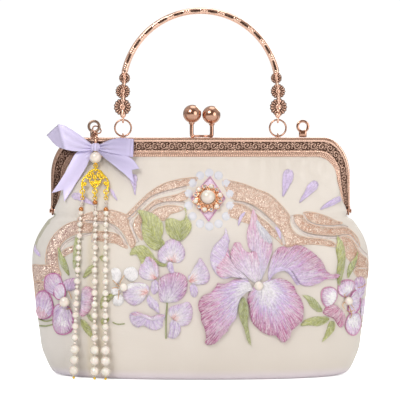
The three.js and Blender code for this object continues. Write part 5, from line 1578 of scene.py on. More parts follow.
    {"name": "leafOrchid", "threads": "leafDark", "layer": 6, "puff": 1.1,
     "root": (29.1, 53), "outline": [
        29.6, 53, 31.9, 49.8, 33.2, 44.7, 33.2, 40.1, 32.3, 34.6, 33.2, 27.2, 35.1, 18.9, 32.3, 23,
        30, 30.9, 27.3, 37.3, 26.1, 42.9, 27, 49.3,
     ]},
    {"name": "leafRightOne", "threads": "leafDark", "layer": 1, "puff": 0.8,
     "root": (83.9, 43), "outline": [
        70.1, 54.4, 74.7, 53.9, 79.3, 51.2, 83.5, 45.6, 83.9, 42.9, 80.2, 42.9, 75.6, 46.5, 72.9, 51.2,
     ]},
    {"name": "leafRightTwo", "threads": "leaf", "layer": 1, "puff": 0.9,
     "root": (89, 38.2), "outline": [
        69.2, 32.7, 71, 36.4, 77.5, 39.2, 84.8, 39.6, 89, 38.2, 85.8, 34.6, 81.1, 32.7, 74.7, 33.2,
     ]},
    {"name": "leafRightThree", "threads": "leaf", "layer": 1, "puff": 0.9,
     "root": (91.3, 36.4), "outline": [
        89.4, 36.4, 92.7, 35.5, 92.7, 30.9, 89.4, 26.3, 83.9, 21.6, 86.2, 28.1, 87.6, 32.7,
     ]},
    {"name": "leafRightTall", "threads": "leaf", "layer": 4, "puff": 1,
     "root": (95.2, 61.3), "outline": [
        89, 101.4, 93.1, 96.3, 97.7, 90.8, 99.6, 81.6, 98.7, 72.4, 95.9, 61.3, 94.5, 62.2, 94, 70.5,
        94.6, 77.9, 93.3, 85.3, 93.9, 91.7, 91.7, 98.2,
     ]},
    {"name": "leafRightBlade", "threads": "leafDark", "layer": 4, "puff": 0.8,
     "root": (101.4, 65.9), "outline": [
        108.3, 85.7, 107.4, 77.9, 105.1, 72.4, 101.4, 65.9, 101.2, 72.4, 103.3, 77, 106.5, 80.7,
     ]},
    {"name": "leafLeftBlade", "threads": "leafDark", "layer": 4, "puff": 0.8,
     "root": (-90.2, 67.6), "outline": [
        -98, 88.5, -95.7, 83.4, -92.9, 78.8, -91.1, 73.3, -90.2, 67.8, -93.9, 71.4, -96.6, 76.1,
        -97.7, 81.6,
     ]},
    {"name": "leafLeftDark", "threads": "leafDark", "layer": 4, "puff": 1,
     "root": (-83.7, 67.3), "outline": [
        -85.4, 95.9, -82.8, 91.7, -82.5, 85.3, -83.1, 76.1, -83.7, 67.8, -86.5, 70.5, -87.9, 76.1,
        -87.6, 83.4, -86.9, 90.8,
     ]},
    {"name": "leafLeftSmall", "threads": "leaf", "layer": 4, "puff": 0.7,
     "root": (-80.9, 66.6), "outline": [
        -73.6, 76.1, -72.8, 72.4, -75.4, 69.6, -79.1, 66.8, -80.9, 66.6, -78.2, 72.4, -75.4, 75.1,
     ]},
    {"name": "leafLeftTiny", "threads": "leaf", "layer": 4, "puff": 0.6,
     "root": (-69.4, 77.9), "outline": [
        -69.7, 80.2, -67.1, 81.8, -64.8, 79.7, -66.6, 77,
     ]},
    {"name": "leafWhiteFlower", "threads": "leaf", "layer": 1, "puff": 0.8,
     "root": (-57, 55.3), "outline": [
        -69.4, 49.3, -68, 53, -64.3, 54.8, -57, 55.3, -61.1, 52.8, -64.3, 49.3, -67.1, 45.6, -69, 44.7,
     ]},
    {"name": "leafLeftLow", "threads": "leaf", "layer": 1, "puff": 0.8,
     "root": (-82.3, 37.5), "outline": [
        -82.8, 37.3, -79.1, 36.4, -75.4, 30.9, -74.5, 24.2, -78.2, 27.2, -81.7, 31.8,
     ]},
    {"name": "leafLeftLowTwo", "threads": "leafDark", "layer": 1, "puff": 0.7,
     "root": (-78, 41), "outline": [
        -78.2, 41, -74.5, 40.1, -71.5, 34.6, -74.5, 35.5, -77.3, 37.8,
     ]},
    {"name": "leafStrand", "threads": "leaf", "layer": 1, "puff": 0.7,
     "root": (-63.2, 39.2), "outline": [
        -69, 37.3, -64.3, 40.1, -63, 36.4, -67.6, 33.5,
     ]},
    {"name": "whiteTop", "threads": "white", "layer": 2, "puff": 1,
     "root": (-53.5, 59.9), "outline": [
        -52.8, 67.8, -52.5, 71.4, -50, 73.5, -45.9, 73.8, -43.1, 70.5, -43.1, 66.4, -46.4, 63.9,
        -50, 64.1,
     ]},
    {"name": "whiteLeft", "threads": "white", "layer": 2, "puff": 1,
     "root": (-53.7, 59.9), "outline": [
        -61.4, 68.7, -61.6, 71.9, -58.8, 73.3, -55.6, 71.9, -54.7, 67.3, -56, 62.7, -58.6, 61.8,
        -60.6, 64.5,
     ]},
    {"name": "whiteLowLeft", "threads": "white", "layer": 2, "puff": 0.9,
     "root": (-53.5, 59.6), "outline": [
        -61.6, 59.6, -57.7, 59.8, -54.7, 58.3, -56.5, 55, -60.2, 53.7, -61.8, 56.5,
     ]},
    {"name": "whiteLow", "threads": "white", "layer": 2, "puff": 0.9,
     "root": (-53.7, 59), "outline": [
        -58.8, 53.9, -54.7, 54.7, -52.7, 51.3, -54, 47.7, -57.7, 46.5, -60.5, 48.4, -60.2, 52.1,
     ]},
    {"name": "leftTopPetal", "threads": "mauve", "layer": 2, "puff": 1, "edging": "magenta",
     "root": (-92.9, 52.1), "outline": [
        -107.2, 61.3, -106.3, 66.8, -102.2, 69.1, -97.5, 68.2, -95.7, 64.1, -93.9, 59.5, -96.6, 57.2,
        -99.4, 53.5, -103.1, 55.8, -106.3, 57.6,
     ]},
    {"name": "leftTopRight", "threads": "mauve", "layer": 1, "puff": 0.9,
     "root": (-92, 52.1), "outline": [
        -95, 62.2, -92, 65.5, -86.5, 66.1, -84.8, 62.2, -86.5, 58.5, -90.2, 56.7, -93.4, 58.4,
     ]},
    {"name": "leftInner", "threads": "silverLilac", "layer": 4, "puff": 0.6, "raised": 0.8,
     "edging": "magenta", "root": (-92, 49.8), "outline": [
        -99.6, 60.4, -94.8, 62.2, -92.7, 57.6, -93.5, 53, -97.1, 51.6, -100.1, 54.8,
     ]},
    {"name": "leftLow", "threads": "mauve", "layer": 3, "puff": 1.1, "edging": "magenta",
     "root": (-92.9, 49.3), "outline": [
        -101.2, 41, -100.5, 45.6, -96.6, 47.9, -91.6, 46.5, -88.3, 41, -87.9, 34.6, -89.2, 29.5,
        -93.9, 27.4, -98.5, 28.3, -101, 33.2,
     ]},
    {"name": "leftOuter", "threads": "mauve", "layer": 2, "puff": 1, "edging": "magenta",
     "root": (-107.7, 38.2), "outline": [
        -113.2, 49.3, -112.1, 54.8, -108.6, 57.2, -104.9, 55.8, -102.2, 50.2, -101.7, 43.8, -104, 39.2,
        -109.5, 38.4, -112.3, 42.9,
     ]},
    {"name": "leftOuterInner", "threads": "pinkPetal", "layer": 3, "puff": 0.4, "raised": 0.8,
     "root": (-107.7, 34), "outline": [
        -112.2, 43.7, -111.2, 47, -108.4, 47.9, -105.7, 45.4, -104, 39.7, -106.4, 38.2, -110.3,
        38.4,
     ]},
    {"name": "leftLowInner", "threads": "white", "layer": 4, "puff": 0.4, "raised": 0.9,
     "root": (-94.1, 42.8), "outline": [
        -98.4, 38.4, -96.4, 41.2, -93.1, 40.9, -90.5, 36.8, -90.1, 32.7, -92.7, 30.5, -96.4, 31.8,
        -98.2, 34.9,
     ]},
    {"name": "leftTopInner", "threads": "silverLilac", "layer": 3, "puff": 0.4, "raised": 0.8,
     "root": (-95.4, 53.3), "outline": [
        -104, 65.2, -101.3, 67.4, -98, 66.7, -96.1, 63.9, -98, 60.4, -101.7, 59.5, -103.8, 62.1,
     ]},
    {"name": "rightLeftInner", "threads": "white", "layer": 3, "puff": 0.4, "raised": 0.8,
     "root": (97.1, 48.9), "outline": [
        85.7, 55.7, 89.3, 57.6, 93, 55.9, 92.8, 50.9, 90.1, 47.4, 86.8, 48.7, 85.3, 52.3,
     ]},
    {"name": "rightTopInner", "threads": "white", "layer": 3, "puff": 0.4, "raised": 0.8,
     "root": (100, 49.9), "outline": [
        97.1, 60, 99.8, 62.1, 103.1, 61.3, 103.8, 58.1, 101.1, 55.9, 97.9, 56.2,
     ]},
    {"name": "rightLowInner", "threads": "white", "layer": 3, "puff": 0.4, "raised": 0.8,
     "root": (101.9, 42.2), "outline": [
        101.5, 37.3, 103.8, 40, 107.3, 39.3, 108.3, 35.4, 106.4, 31.1, 102.9, 31.5, 101.3, 34.2,
     ]},
    {"name": "rightSideInner", "threads": "silverLilac", "layer": 3, "puff": 0.4, "raised": 0.7,
     "root": (101.4, 49.9), "outline": [
        103.8, 52.3, 106.5, 54.2, 108.3, 51.8, 107.9, 47.5, 105.2, 45.1, 103.1, 47,
     ]},
    {"name": "sprigWhiteInner", "threads": "white", "layer": 3, "puff": 0.4, "raised": 0.9,
     "root": (-36.5, 56.9), "outline": [
        -52, 59.3, -49.5, 62.1, -44, 62.8, -37.8, 62.1, -35.7, 59.8, -40, 58.8, -45.3, 57.4, -50.1,
        56.7,
     ]},
    {"name": "leftPink", "threads": "pinkTip", "layer": 1, "puff": 1,
     "root": (-86.5, 49.8), "outline": [
        -82.8, 48.4, -81.7, 57.6, -77.7, 60.6, -73.6, 57.6, -73.4, 53, -74.5, 47.5, -76.3, 42.9,
        -80.8, 39.2, -83.5, 41,
     ]},
    {"name": "rightLeft", "threads": "silverLilac", "layer": 2, "puff": 1, "edging": "pink",
     "root": (99.6, 49.8), "outline": [
        83.5, 55.8, 85.8, 59, 90.4, 59.5, 93.6, 56.7, 93.6, 52.1, 90.4, 47.5, 86.7, 46.5, 83.9, 50.2,
     ]},
    {"name": "rightTop", "threads": "silverLilac", "layer": 2, "puff": 1, "edging": "pink",
     "root": (100, 49.8), "outline": [
        95, 57.6, 95.9, 62.2, 99.6, 64.5, 104.2, 64.1, 106.2, 61.3, 104.4, 57.6, 100.5, 53.5,
        96.8, 54.4,
     ]},
    {"name": "rightPink", "threads": "pinkPetal", "layer": 3, "puff": 1,
     "root": (100, 49.3), "outline": [
        84.4, 41.9, 86.7, 46.5, 92.2, 47.9, 96.8, 44.7, 99.6, 40.1, 98.7, 33.6, 95.9, 31.8, 92.2, 37.3,
        87.6, 39.6,
     ]},
    {"name": "rightSide", "threads": "silverLilac", "layer": 2, "puff": 0.9, "edging": "magenta",
     "root": (100, 49.8), "outline": [
        103.7, 53.9, 106.9, 57.6, 109.2, 55.8, 109.9, 50.2, 108.8, 44.7, 104.6, 41, 101.9, 43.8,
        102.3, 48.4,
     ]},
    {"name": "rightLow", "threads": "silverLilac", "layer": 2, "puff": 1, "edging": "pink",
     "root": (101.9, 44.7), "outline": [
        100.5, 36.4, 103.3, 41, 107.9, 41.9, 110.2, 38.2, 109.7, 31.8, 106.9, 27.2, 103.3, 27.2,
        100.5, 30.9,
     ]},
    {"name": "rightFar", "threads": "mauve", "layer": 1, "puff": 0.8,
     "root": (107.4, 52.1), "outline": [
        105.6, 61.3, 106.9, 65.9, 110.6, 67.3, 113.2, 65, 113.6, 60.4, 111.6, 53, 109, 52.5,
        106.9, 57.6,
     ]},
    {"name": "rightEdge", "threads": "mauve", "layer": 1, "puff": 0.7,
     "root": (110.6, 39.2), "outline": [
        110.8, 50.2, 112.9, 52.1, 112.7, 42.9, 111.6, 38.2, 110.3, 42.9,
     ]},
    {"name": "dropTop", "threads": "drop", "layer": 1, "puff": 1,
     "root": (56.5, 121.7), "outline": [
        57.2, 138.8, 58.3, 140.6, 60.7, 141.2, 63.2, 140.2, 64.1, 137.8, 63.2, 133.2, 60.4, 127.7,
        57.7, 123.1, 56.5, 121.7, 56.3, 124.9, 56.3, 130.5, 56.5, 135.1,
     ]},
    {"name": "dropMiddle", "threads": "drop", "layer": 1, "puff": 1,
     "root": (67.8, 117.6), "outline": [
        74.7, 130.9, 77.5, 133.2, 80.2, 132.8, 81.3, 130.5, 80.2, 127.7, 75.6, 123.6, 71, 119.9,
        67.8, 117.6, 68.7, 120.3, 71, 124, 72.9, 128.2,
     ]},
    {"name": "dropSide", "threads": "drop", "layer": 1, "puff": 0.8,
     "root": (82.1, 113.1), "outline": [
        88.5, 118.9, 93.1, 121.7, 96.1, 122.4, 96.4, 118.9, 93.1, 117.1, 87.6, 114.8, 82.1, 113.1,
        84.8, 116.2,
     ]},
    {"name": "dropLeft", "threads": "drop", "layer": 1, "puff": 0.8,
     "root": (-72.5, 116.5), "outline": [
        -88.8, 123.1, -86.5, 125.1, -81.9, 124, -77.3, 120.8, -72.5, 116.5, -77.7, 117.6, -83.7, 119.6,
        -87.6, 120.8,
     ]},
    {"name": "dropStrand", "threads": "drop", "layer": 1, "puff": 0.6,
     "root": (-57, 119.2), "outline": [
        -62.5, 128.6, -60.6, 126.8, -58.6, 123.1, -57, 119.2, -59.7, 121.7, -61.8, 124.9,
     ]},
    {"name": "dropBow", "threads": "drop", "layer": 1, "puff": 0.9,
     "root": (-44.8, 123.1), "outline": [
        -49.6, 136.9, -45.9, 137.8, -43.3, 136, -44, 130.5, -44.8, 123.1, -46.4, 128.6, -48.2, 132.8,
     ]},
    {"name": "dropFarLeft", "threads": "drop", "layer": 1, "puff": 0.6,
     "root": (-110, 80.7), "outline": [
        -115.1, 89, -114, 87.6, -111.8, 84.4, -110, 80.7, -112.8, 82.5, -114.6, 85.3,
     ]},
    {"name": "slipOne", "threads": "drop", "layer": 3, "puff": 0.6,
     "root": (26.1, 100.8), "outline": [
        30.9, 112, 29.1, 110.9, 26.8, 108.3, 25.9, 104.6, 26.1, 100.8, 27, 103.7, 28.8, 107.4,
        30.9, 110.2,
     ]},
    {"name": "slipTwo", "threads": "drop", "layer": 3, "puff": 0.6,
     "root": (55.2, 92.2), "outline": [
        50.9, 101.4, 53, 101, 54.9, 98.2, 55.5, 94.5, 55.2, 92.2, 54, 94.5, 52.6, 98.2,
     ]},
]

# bands of glitter cloth with corded edges
clouds = [
    [
        15.7, 133.2, 23.1, 132.5, 31.4, 130.3, 38.8, 127.2, 47.1, 124, 53.5, 118.5, 59, 112.5,
        61.3, 108.8, 61.5, 103.7, 63.2, 99.6, 66.4, 96.3, 71, 94.5, 77.5, 93.6, 84.8, 92.7, 90.4, 91.3,
        93.9, 88, 89.4, 87.9, 83, 89, 75.6, 89.4, 69.2, 89, 62.7, 88, 58.3, 88.2, 57.7, 92.7,
        55.4, 99.1, 51.7, 103.7, 47.1, 108.3, 41.5, 113.4, 35.1, 117.1, 29.6, 118.9, 23.1, 120.1,
        19.4, 124,
    ],
    [
        22.6, 117.4, 29.6, 116.2, 35.1, 112.9, 40.6, 108.3, 47.1, 103.3, 51.7, 98.2, 56.5, 89,
        52.6, 92.7, 48, 96.3, 43.4, 98.7, 38.8, 101.4, 33.2, 103.7, 28.6, 105.1, 24, 107.2,
        19.4, 109.3, 20.3, 113.4,
    ],
    [
        71, 111.1, 75.6, 111.6, 81.1, 110.6, 87.6, 108.3, 93.1, 105.6, 97.7, 104.2, 94, 103,
        87.6, 102.8, 82.1, 103.3, 77.5, 104.6, 73.8, 107.2,
    ],
    [
        64.6, 109.3, 70.1, 109.3, 71.9, 106.5, 75.6, 103.7, 81.1, 101.9, 86.7, 101, 92.2, 101,
        98.7, 101.1, 103.3, 99.1, 107.9, 94, 109.7, 87.6, 106.8, 89, 103.3, 94, 98.7, 96.1, 92.2, 95.7,
        84.8, 95.9, 77.5, 96.8, 71, 98.7, 66.4, 102.6, 64.3, 106.3,
    ],
    [
        95.9, 94.5, 101.4, 94.7, 105.1, 91.7, 107.9, 86.2, 111.6, 81.6, 114.5, 79.3, 115.2, 73.8,
        111.6, 73.5, 106.5, 74, 102.3, 78.6, 98.7, 82.5, 95.2, 86.2, 94, 90.4,
    ],
    [
        106.2, 72.6, 115.1, 73.5, 114.9, 66.8, 109, 66.7, 106.2, 69.6,
    ],
    [
        -51, 109.3, -45.9, 114.8, -40.4, 120.3, -33.9, 125.9, -26.5, 130.5, -18.2, 133.2, -9, 134.9,
        -1.8, 135.1, -5.3, 131.2, -9.9, 129.7, -16.4, 127.9, -24.7, 125.4, -32.1, 122.2, -38, 118,
        -42.7, 112.9, -45.9, 108.8, -49.1, 108.2,
    ],
    [
        -10.1, 125.9, -15.4, 123.8, -22.8, 122, -30.7, 119.9, -36.2, 115.9, -40.8, 111.1, -44.5, 107.4,
        -46.1, 102.8, -45, 98.2, -42.2, 94, -40.2, 92.1, -40.2, 96.3, -41.5, 101, -40.2, 105.1,
        -37.6, 108.8, -33.4, 113.9, -28.4, 117.1, -21.7, 118.3, -15, 118.8, -8.8, 121.1,
    ],
    [
        -33.9, 110.9, -29.3, 114.3, -21.9, 116.2, -14.5, 115.3, -11.6, 113.9, -15.3, 111.8, -20.8, 110,
        -25.1, 105.8, -29.1, 107.2, -32.8, 109.4,
    ],
    [
        -82.8, 108.5, -75.4, 111.3, -68, 112.6, -61.6, 112.9, -57, 111.8, -51.9, 110, -50, 108.3,
        -49.4, 103.7, -47.9, 99.1, -44.8, 92.7, -45.2, 89, -47.3, 86.7, -49.6, 90.4, -52.3, 95.9,
        -56.5, 101, -61.1, 103.9, -67.1, 105.6, -74.5, 105.4, -80.9, 104.5, -84.6, 105.8,
    ],
    [
        -73.6, 97.5, -67.1, 98, -60.6, 97.3, -56, 95.2, -52.3, 90.8, -50.3, 86.7, -54.4, 88,
        -58.6, 90.1, -63.4, 90.8, -69.9, 91.9, -74.5, 92.7,
    ],
    [
        -102.2, 72.4, -106.3, 76.1, -106.3, 82.5, -104.7, 89, -101.2, 95.2, -96.6, 99.9, -91.1, 103.5,
        -85.1, 105.2, -79.1, 103.9, -73.6, 103.5, -74.5, 100, -75.4, 97.8, -81.9, 97.3, -88.3, 95.4,
        -93.9, 91.7, -97.1, 87.1, -98.5, 81.6, -97.9, 74.2, -96.4, 67.9,
    ],
    [
        -116.2, 74.4, -110.5, 75, -104.9, 74.7, -98.5, 73.3, -96.1, 67.8, -103.1, 69.1, -107.7, 66.8,
        -110.5, 64.1, -115.4, 63.9,
    ],
    [
        -96.6, 81.4, -93.9, 85.3, -88.3, 87.9, -83, 89.3, -83.5, 86, -90, 83.3, -94.8, 80.5,
    ],
    [
        -115.3, 62.7, -108.6, 63.6, -107.2, 60.4, -108.8, 57.6, -112.3, 55.3, -114, 52.1, -114.9, 57.6,
    ],
]

channelLines = [
    {"width": 1.6, "route": [
        23.1, 118.5, 29.6, 117.6, 36, 114.8, 42.5, 110.2, 48, 105.6, 52.6, 101, 56.3, 94.5, 57.7, 89,
    ]},
    {"width": 1.5, "route": [
        62.9, 109.3, 64.1, 104.6, 66.4, 101, 71, 97.3, 77.5, 95.2, 84.8, 94.5, 92.2, 94, 97.7, 95.2,
    ]},
    {"width": 1.2, "route": [
        71, 110.2, 73.3, 105.6, 77.5, 103.3, 83, 102.1, 90.4, 101.7, 95.9, 102.1, 101.4, 101,
    ]},
    {"width": 1.3, "route": [
        96.8, 95.2, 102.3, 95.2, 106.5, 90.8, 109.9, 86.2, 114.5, 81.6,
    ]},
    {"width": 1, "route": [
        106.8, 73.5, 111.6, 73, 115.2, 73.6,
    ]},
    {"width": 1.6, "route": [
        -49.6, 106.5, -45, 110.6, -39.4, 116.5, -33, 121.7, -25.1, 124.8, -17.3, 126.8, -9.5, 128.8,
    ]},
    {"width": 1.5, "route": [
        -36.7, 110.2, -32.1, 114.8, -25.6, 117.4, -18.2, 118, -10.8, 117.6,
    ]},
    {"width": 1.6, "route": [
        -47.3, 106.5, -48.2, 103.7, -46.8, 99.1, -45, 94.5, -43.1, 90.8,
    ]},
    {"width": 1.5, "route": [
        -79.1, 105.1, -71.7, 104.6, -64.3, 103.5, -58.8, 100, -54.7, 95.4, -51, 89,
    ]},
    {"width": 1.3, "route": [
        -96.2, 85.3, -92.9, 89.7, -87.4, 93.1, -80.9, 95.2, -73.6, 96.3, -74.5, 90.8,
    ]},
]

stitchedLines = [
    {"width": 1, "threads": "stem", "route": [
        -22.8, 50.2, -23.2, 44.7, -23.6, 39.2, -23.8, 31.8, -23.8, 24.2,
    ]},
    {"width": 0.9, "threads": "stem", "route": [
        -111.8, 38.1, -106.8, 36.2, -101.7, 37.3,
    ]},
    {"width": 0.9, "threads": "stem", "route": [
        -111.4, 33.2, -106.8, 32.9, -101.6, 34,
    ]},
    {"width": 0.7, "threads": "stem", "route": [
        -60.6, 35.5, -57, 34.1, -52.2, 34.5,
    ]},
    {"width": 0.7, "threads": "stem", "route": [
        110.2, 38.2, 111.6, 35.5,
    ]},
    {"width": 0.7, "threads": "stem", "route": [
        110.6, 33.6, 111.6, 32.3,
    ]},
    {"width": 0.5, "threads": "gold", "route": [
        -54.7, 60.8, -55.1, 63.1, -52.3, 67.8,
    ]},
    {"width": 0.5, "threads": "gold", "route": [
        -55.6, 60.2, -57.9, 62.2, -60.2, 64.5,
    ]},
    {"width": 0.5, "threads": "gold", "route": [
        -56, 59, -58.3, 59.5, -60.8, 59,
    ]},
    {"width": 0.5, "threads": "gold", "route": [
        -55.9, 57.6, -56.2, 54.4, -56.5, 50.7,
    ]},
    {"width": 0.5, "threads": "gold", "route": [
        -94.8, 49.8, -96.2, 45.6, -93.9, 41.5, -90.2, 40.1,
    ]},
    {"width": 0.5, "threads": "gold", "route": [
        -88.3, 52.1, -89.2, 54.8, -90.4, 57.2,
    ]},
    {"width": 0.5, "threads": "gold", "route": [
        -96.6, 44.2, -92.9, 44.7, -88.8, 45.2,
    ]},
    {"width": 0.5, "threads": "gold", "route": [
        98.7, 49.8, 97.3, 47.5, 98.7, 44.7,
    ]},
    {"width": 0.5, "threads": "gold", "route": [
        99.6, 52.5, 98.7, 54.8, 100.7, 56.7,
    ]},
    {"width": 0.5, "threads": "gold", "route": [
        102.8, 48.4, 104.6, 45.6, 105.6, 43.8,
    ]},
    {"width": 0.5, "threads": "gold", "route": [
        100, 43.8, 102.3, 42.9, 104.6, 44.2,
    ]},
    {"width": 0.5, "threads": "gold", "route": [
        101.4, 47, 103.3, 41.5, 102.3, 38.7,
    ]},
    {"width": 0.5, "threads": "gold", "route": [
        107.4, 59.5, 110.6, 60.4, 112.5, 62.2,
    ]},
]


def dye(red, green, blue):
    # a colour as a dyer's card shows it, 0 to 255, turned into what the shader needs
    value = np.array([red, green, blue], float) / 255
    return np.where(value <= 0.04045, value / 12.92, ((value + 0.055) / 1.055) ** 2.4)


# thread colours from a petal's root to its tip
threadCards = {
    "lilac": [(0, dye(234, 220, 244)), (0.5, dye(208, 184, 230)), (1, dye(228, 208, 240))],
    "pinkTip": [(0, dye(226, 224, 234)), (0.35, dye(210, 194, 232)), (0.7, dye(226, 180, 214)),
                (1, dye(226, 150, 186))],
    "pinkEdge": [(0, dye(240, 234, 244)), (0.5, dye(222, 200, 232)), (0.82, dye(226, 174, 210)),
                 (1, dye(216, 132, 176))],
    "magentaEdge": [(0, dye(236, 232, 244)), (0.3, dye(212, 190, 236)), (0.65, dye(216, 176, 224)),
                    (0.88, dye(196, 104, 156)), (1, dye(214, 150, 190))],
    "magentaTip": [(0, dye(252, 250, 254)), (0.24, dye(244, 240, 250)), (0.46, dye(208, 184, 234)),
                   (0.66, dye(220, 164, 212)), (0.85, dye(196, 100, 160)), (1, dye(190, 88, 146))],
    "silver": [(0, dye(216, 214, 226)), (1, dye(196, 192, 210))],
    "coralHeart": [(0, dye(240, 140, 132)), (0.2, dye(240, 180, 178)), (0.36, dye(246, 240, 248)),
                   (0.7, dye(214, 194, 232)), (1, dye(228, 194, 228))],
    "mauveRound": [(0, dye(242, 240, 244)), (0.28, dye(222, 208, 234)), (0.6, dye(198, 156, 208)),
                   (1, dye(206, 132, 176))],
    "leaf": [(0, dye(150, 158, 74)), (0.5, dye(190, 196, 110)), (1, dye(208, 212, 138))],
    "leafDark": [(0, dye(146, 156, 86)), (0.6, dye(182, 190, 120)), (1, dye(204, 210, 148))],
    "white": [(0, dye(232, 222, 222)), (0.3, dye(248, 247, 250)), (1, dye(254, 254, 255))],
    "mauve": [(0, dye(230, 214, 238)), (0.5, dye(198, 168, 218)), (1, dye(214, 160, 206))],
    "silverLilac": [(0, dye(232, 228, 242)), (0.55, dye(228, 216, 242)), (1, dye(226, 182, 220))],
    "pinkPetal": [(0, dye(232, 190, 208)), (0.5, dye(214, 138, 176)), (1, dye(200, 112, 156))],
    "drop": [(0, dye(210, 188, 236)), (1, dye(226, 210, 244))],
    "satinPink": [(0, dye(232, 206, 232)), (1, dye(238, 218, 238))],
    "satinRim": [(0, dye(214, 150, 194)), (1, dye(222, 168, 206))],
    "stem": [(0, dye(150, 160, 108)), (1, dye(172, 180, 132))],
    "gold": [(0, dye(206, 156, 100)), (1, dye(222, 182, 132))],
    "magenta": [(0, dye(204, 120, 178)), (1, dye(214, 140, 190))],
    "pink": [(0, dye(222, 158, 194)), (1, dye(228, 174, 206))],
}


def threadColour(card, share):
    stops = threadCards[card]
    at = [stop[0] for stop in stops]
    return np.stack([np.interp(share, at, [stop[1][k] for stop in stops]) for k in range(3)], -1)


def pairsOf(numbers):
    return np.array(numbers, float).reshape(-1, 2)


def insideOutline(points, outline):
    x, y = points[:, 0:1], points[:, 1:2]
    ax, ay = outline[:, 0][None], outline[:, 1][None]
    bx, by = np.roll(outline[:, 0], -1)[None], np.roll(outline[:, 1], -1)[None]
    crosses = (ay > y) != (by > y)
    where = (bx - ax) * (y - ay) / np.where(by == ay, 1e-9, by - ay) + ax
    return (np.sum(crosses & (x < where), axis=1) % 2).astype(bool)


def edgeDistance(points, outline):
    result = np.empty(len(points))
    for start in range(0, len(points), 2000):
        part = points[start:start + 2000]
        gaps = part[:, None] - outline[None]
        result[start:start + 2000] = np.sqrt((gaps ** 2).sum(-1).min(1))
    return result


def lattice(outline, pitch, jitter=0.3):
    low, high = outline.min(0), outline.max(0)
    x, z = np.meshgrid(np.arange(low[0], high[0], pitch), np.arange(low[1], high[1], pitch))
    x = x + (np.arange(x.shape[0]) % 2)[:, None] * pitch / 2
    points = np.stack([x.ravel(), z.ravel()], -1)
    points += dice.uniform(-jitter, jitter, points.shape) * pitch
    return points[insideOutline(points, outline)]


def puffHeight(edge, puff, soft=1.5):
    return puff * (1 - np.exp(-edge / soft))


def reachFrom(root, outline):
    # how far the outline stands from the root in each direction
    away = outline - root
    angle = np.arctan2(away[:, 1], away[:, 0])
    distance = np.hypot(away[:, 0], away[:, 1])
    bins = np.linspace(-math.pi, math.pi, 91)
    reach = np.zeros(90)
    for i in range(90):
        gap = np.abs((angle - (bins[i] + bins[i + 1]) / 2 + math.pi) % (2 * math.pi) - math.pi)
        near = gap < 0.09
        reach[i] = distance[near].max() if near.any() else distance[np.argmin(gap)]
    centres = (bins[:-1] + bins[1:]) / 2

    def share(points):
        out = points - root
        turn = np.arctan2(out[:, 1], out[:, 0])
        limit = np.interp(turn, centres, reach, period=2 * math.pi)
        return np.clip(np.hypot(out[:, 0], out[:, 1]) / np.maximum(limit, 0.5), 0, 1)

    return share


# fade is the most that the painted sheen pales a thread towards white
stitchSet = {
    "width": 0.52, "length": 6.0, "density": 1.3, "fade": 0.72,
    "puff": 1.45, "lift": 0.12, "layer": 0.32, "arch": 0.16,
}


def padShape(outline, puff, base, pitch=1.3, soft=1.5):
    # the raised filling below the stitches, its rim let into the cloth
    inner = lattice(outline, pitch, 0.15)
    inner = inner[edgeDistance(inner, outline) > pitch * 0.45]
    both = np.vstack([outline, inner])
    count = len(outline)
    made = delaunay_2d_cdt([Vector(p) for p in both], [], [list(range(count))], 1, 1e-4)
    flat = np.array([tuple(p) for p in made[0]])
    edge = edgeDistance(flat, outline)
    lift = base + puffHeight(edge, puff, soft)
    lift[edge < 0.05] = -0.25
    faces = [list(face)[::-1] for face in made[2]]
    return (onCloth(flat, lift), faces), flat


def ribbonStitches(flat, width, lift, colours):
    # flat is (stitch, station, 2); each stitch is a low ridge of silk lying on its lift
    along = unit(np.gradient(flat, axis=1))
    across = np.stack([-along[..., 1], along[..., 0]], -1)
    taper = np.ones(flat.shape[1])
    taper[0] = taper[-1] = 0.45
    half = across * (width / 2) * taper[None, :, None]
    threeWide = np.stack([flat - half, flat, flat + half], 2)
    ridge = np.array([-0.26, 0.1, -0.26])
    lifts = lift[:, :, None] + ridge[None, None]
    stitches, stations = flat.shape[:2]
    points = onCloth(threeWide.reshape(-1, 2), lifts.reshape(-1))
    one = np.array(gridFaces(stations, 3))
    faces = (one[None] + (np.arange(stitches) * stations * 3)[:, None, None]).reshape(-1, 4)
    tints = np.repeat(colours[:, :, None], 3, axis=2).reshape(-1, 3)
    return points, faces.tolist(), tints


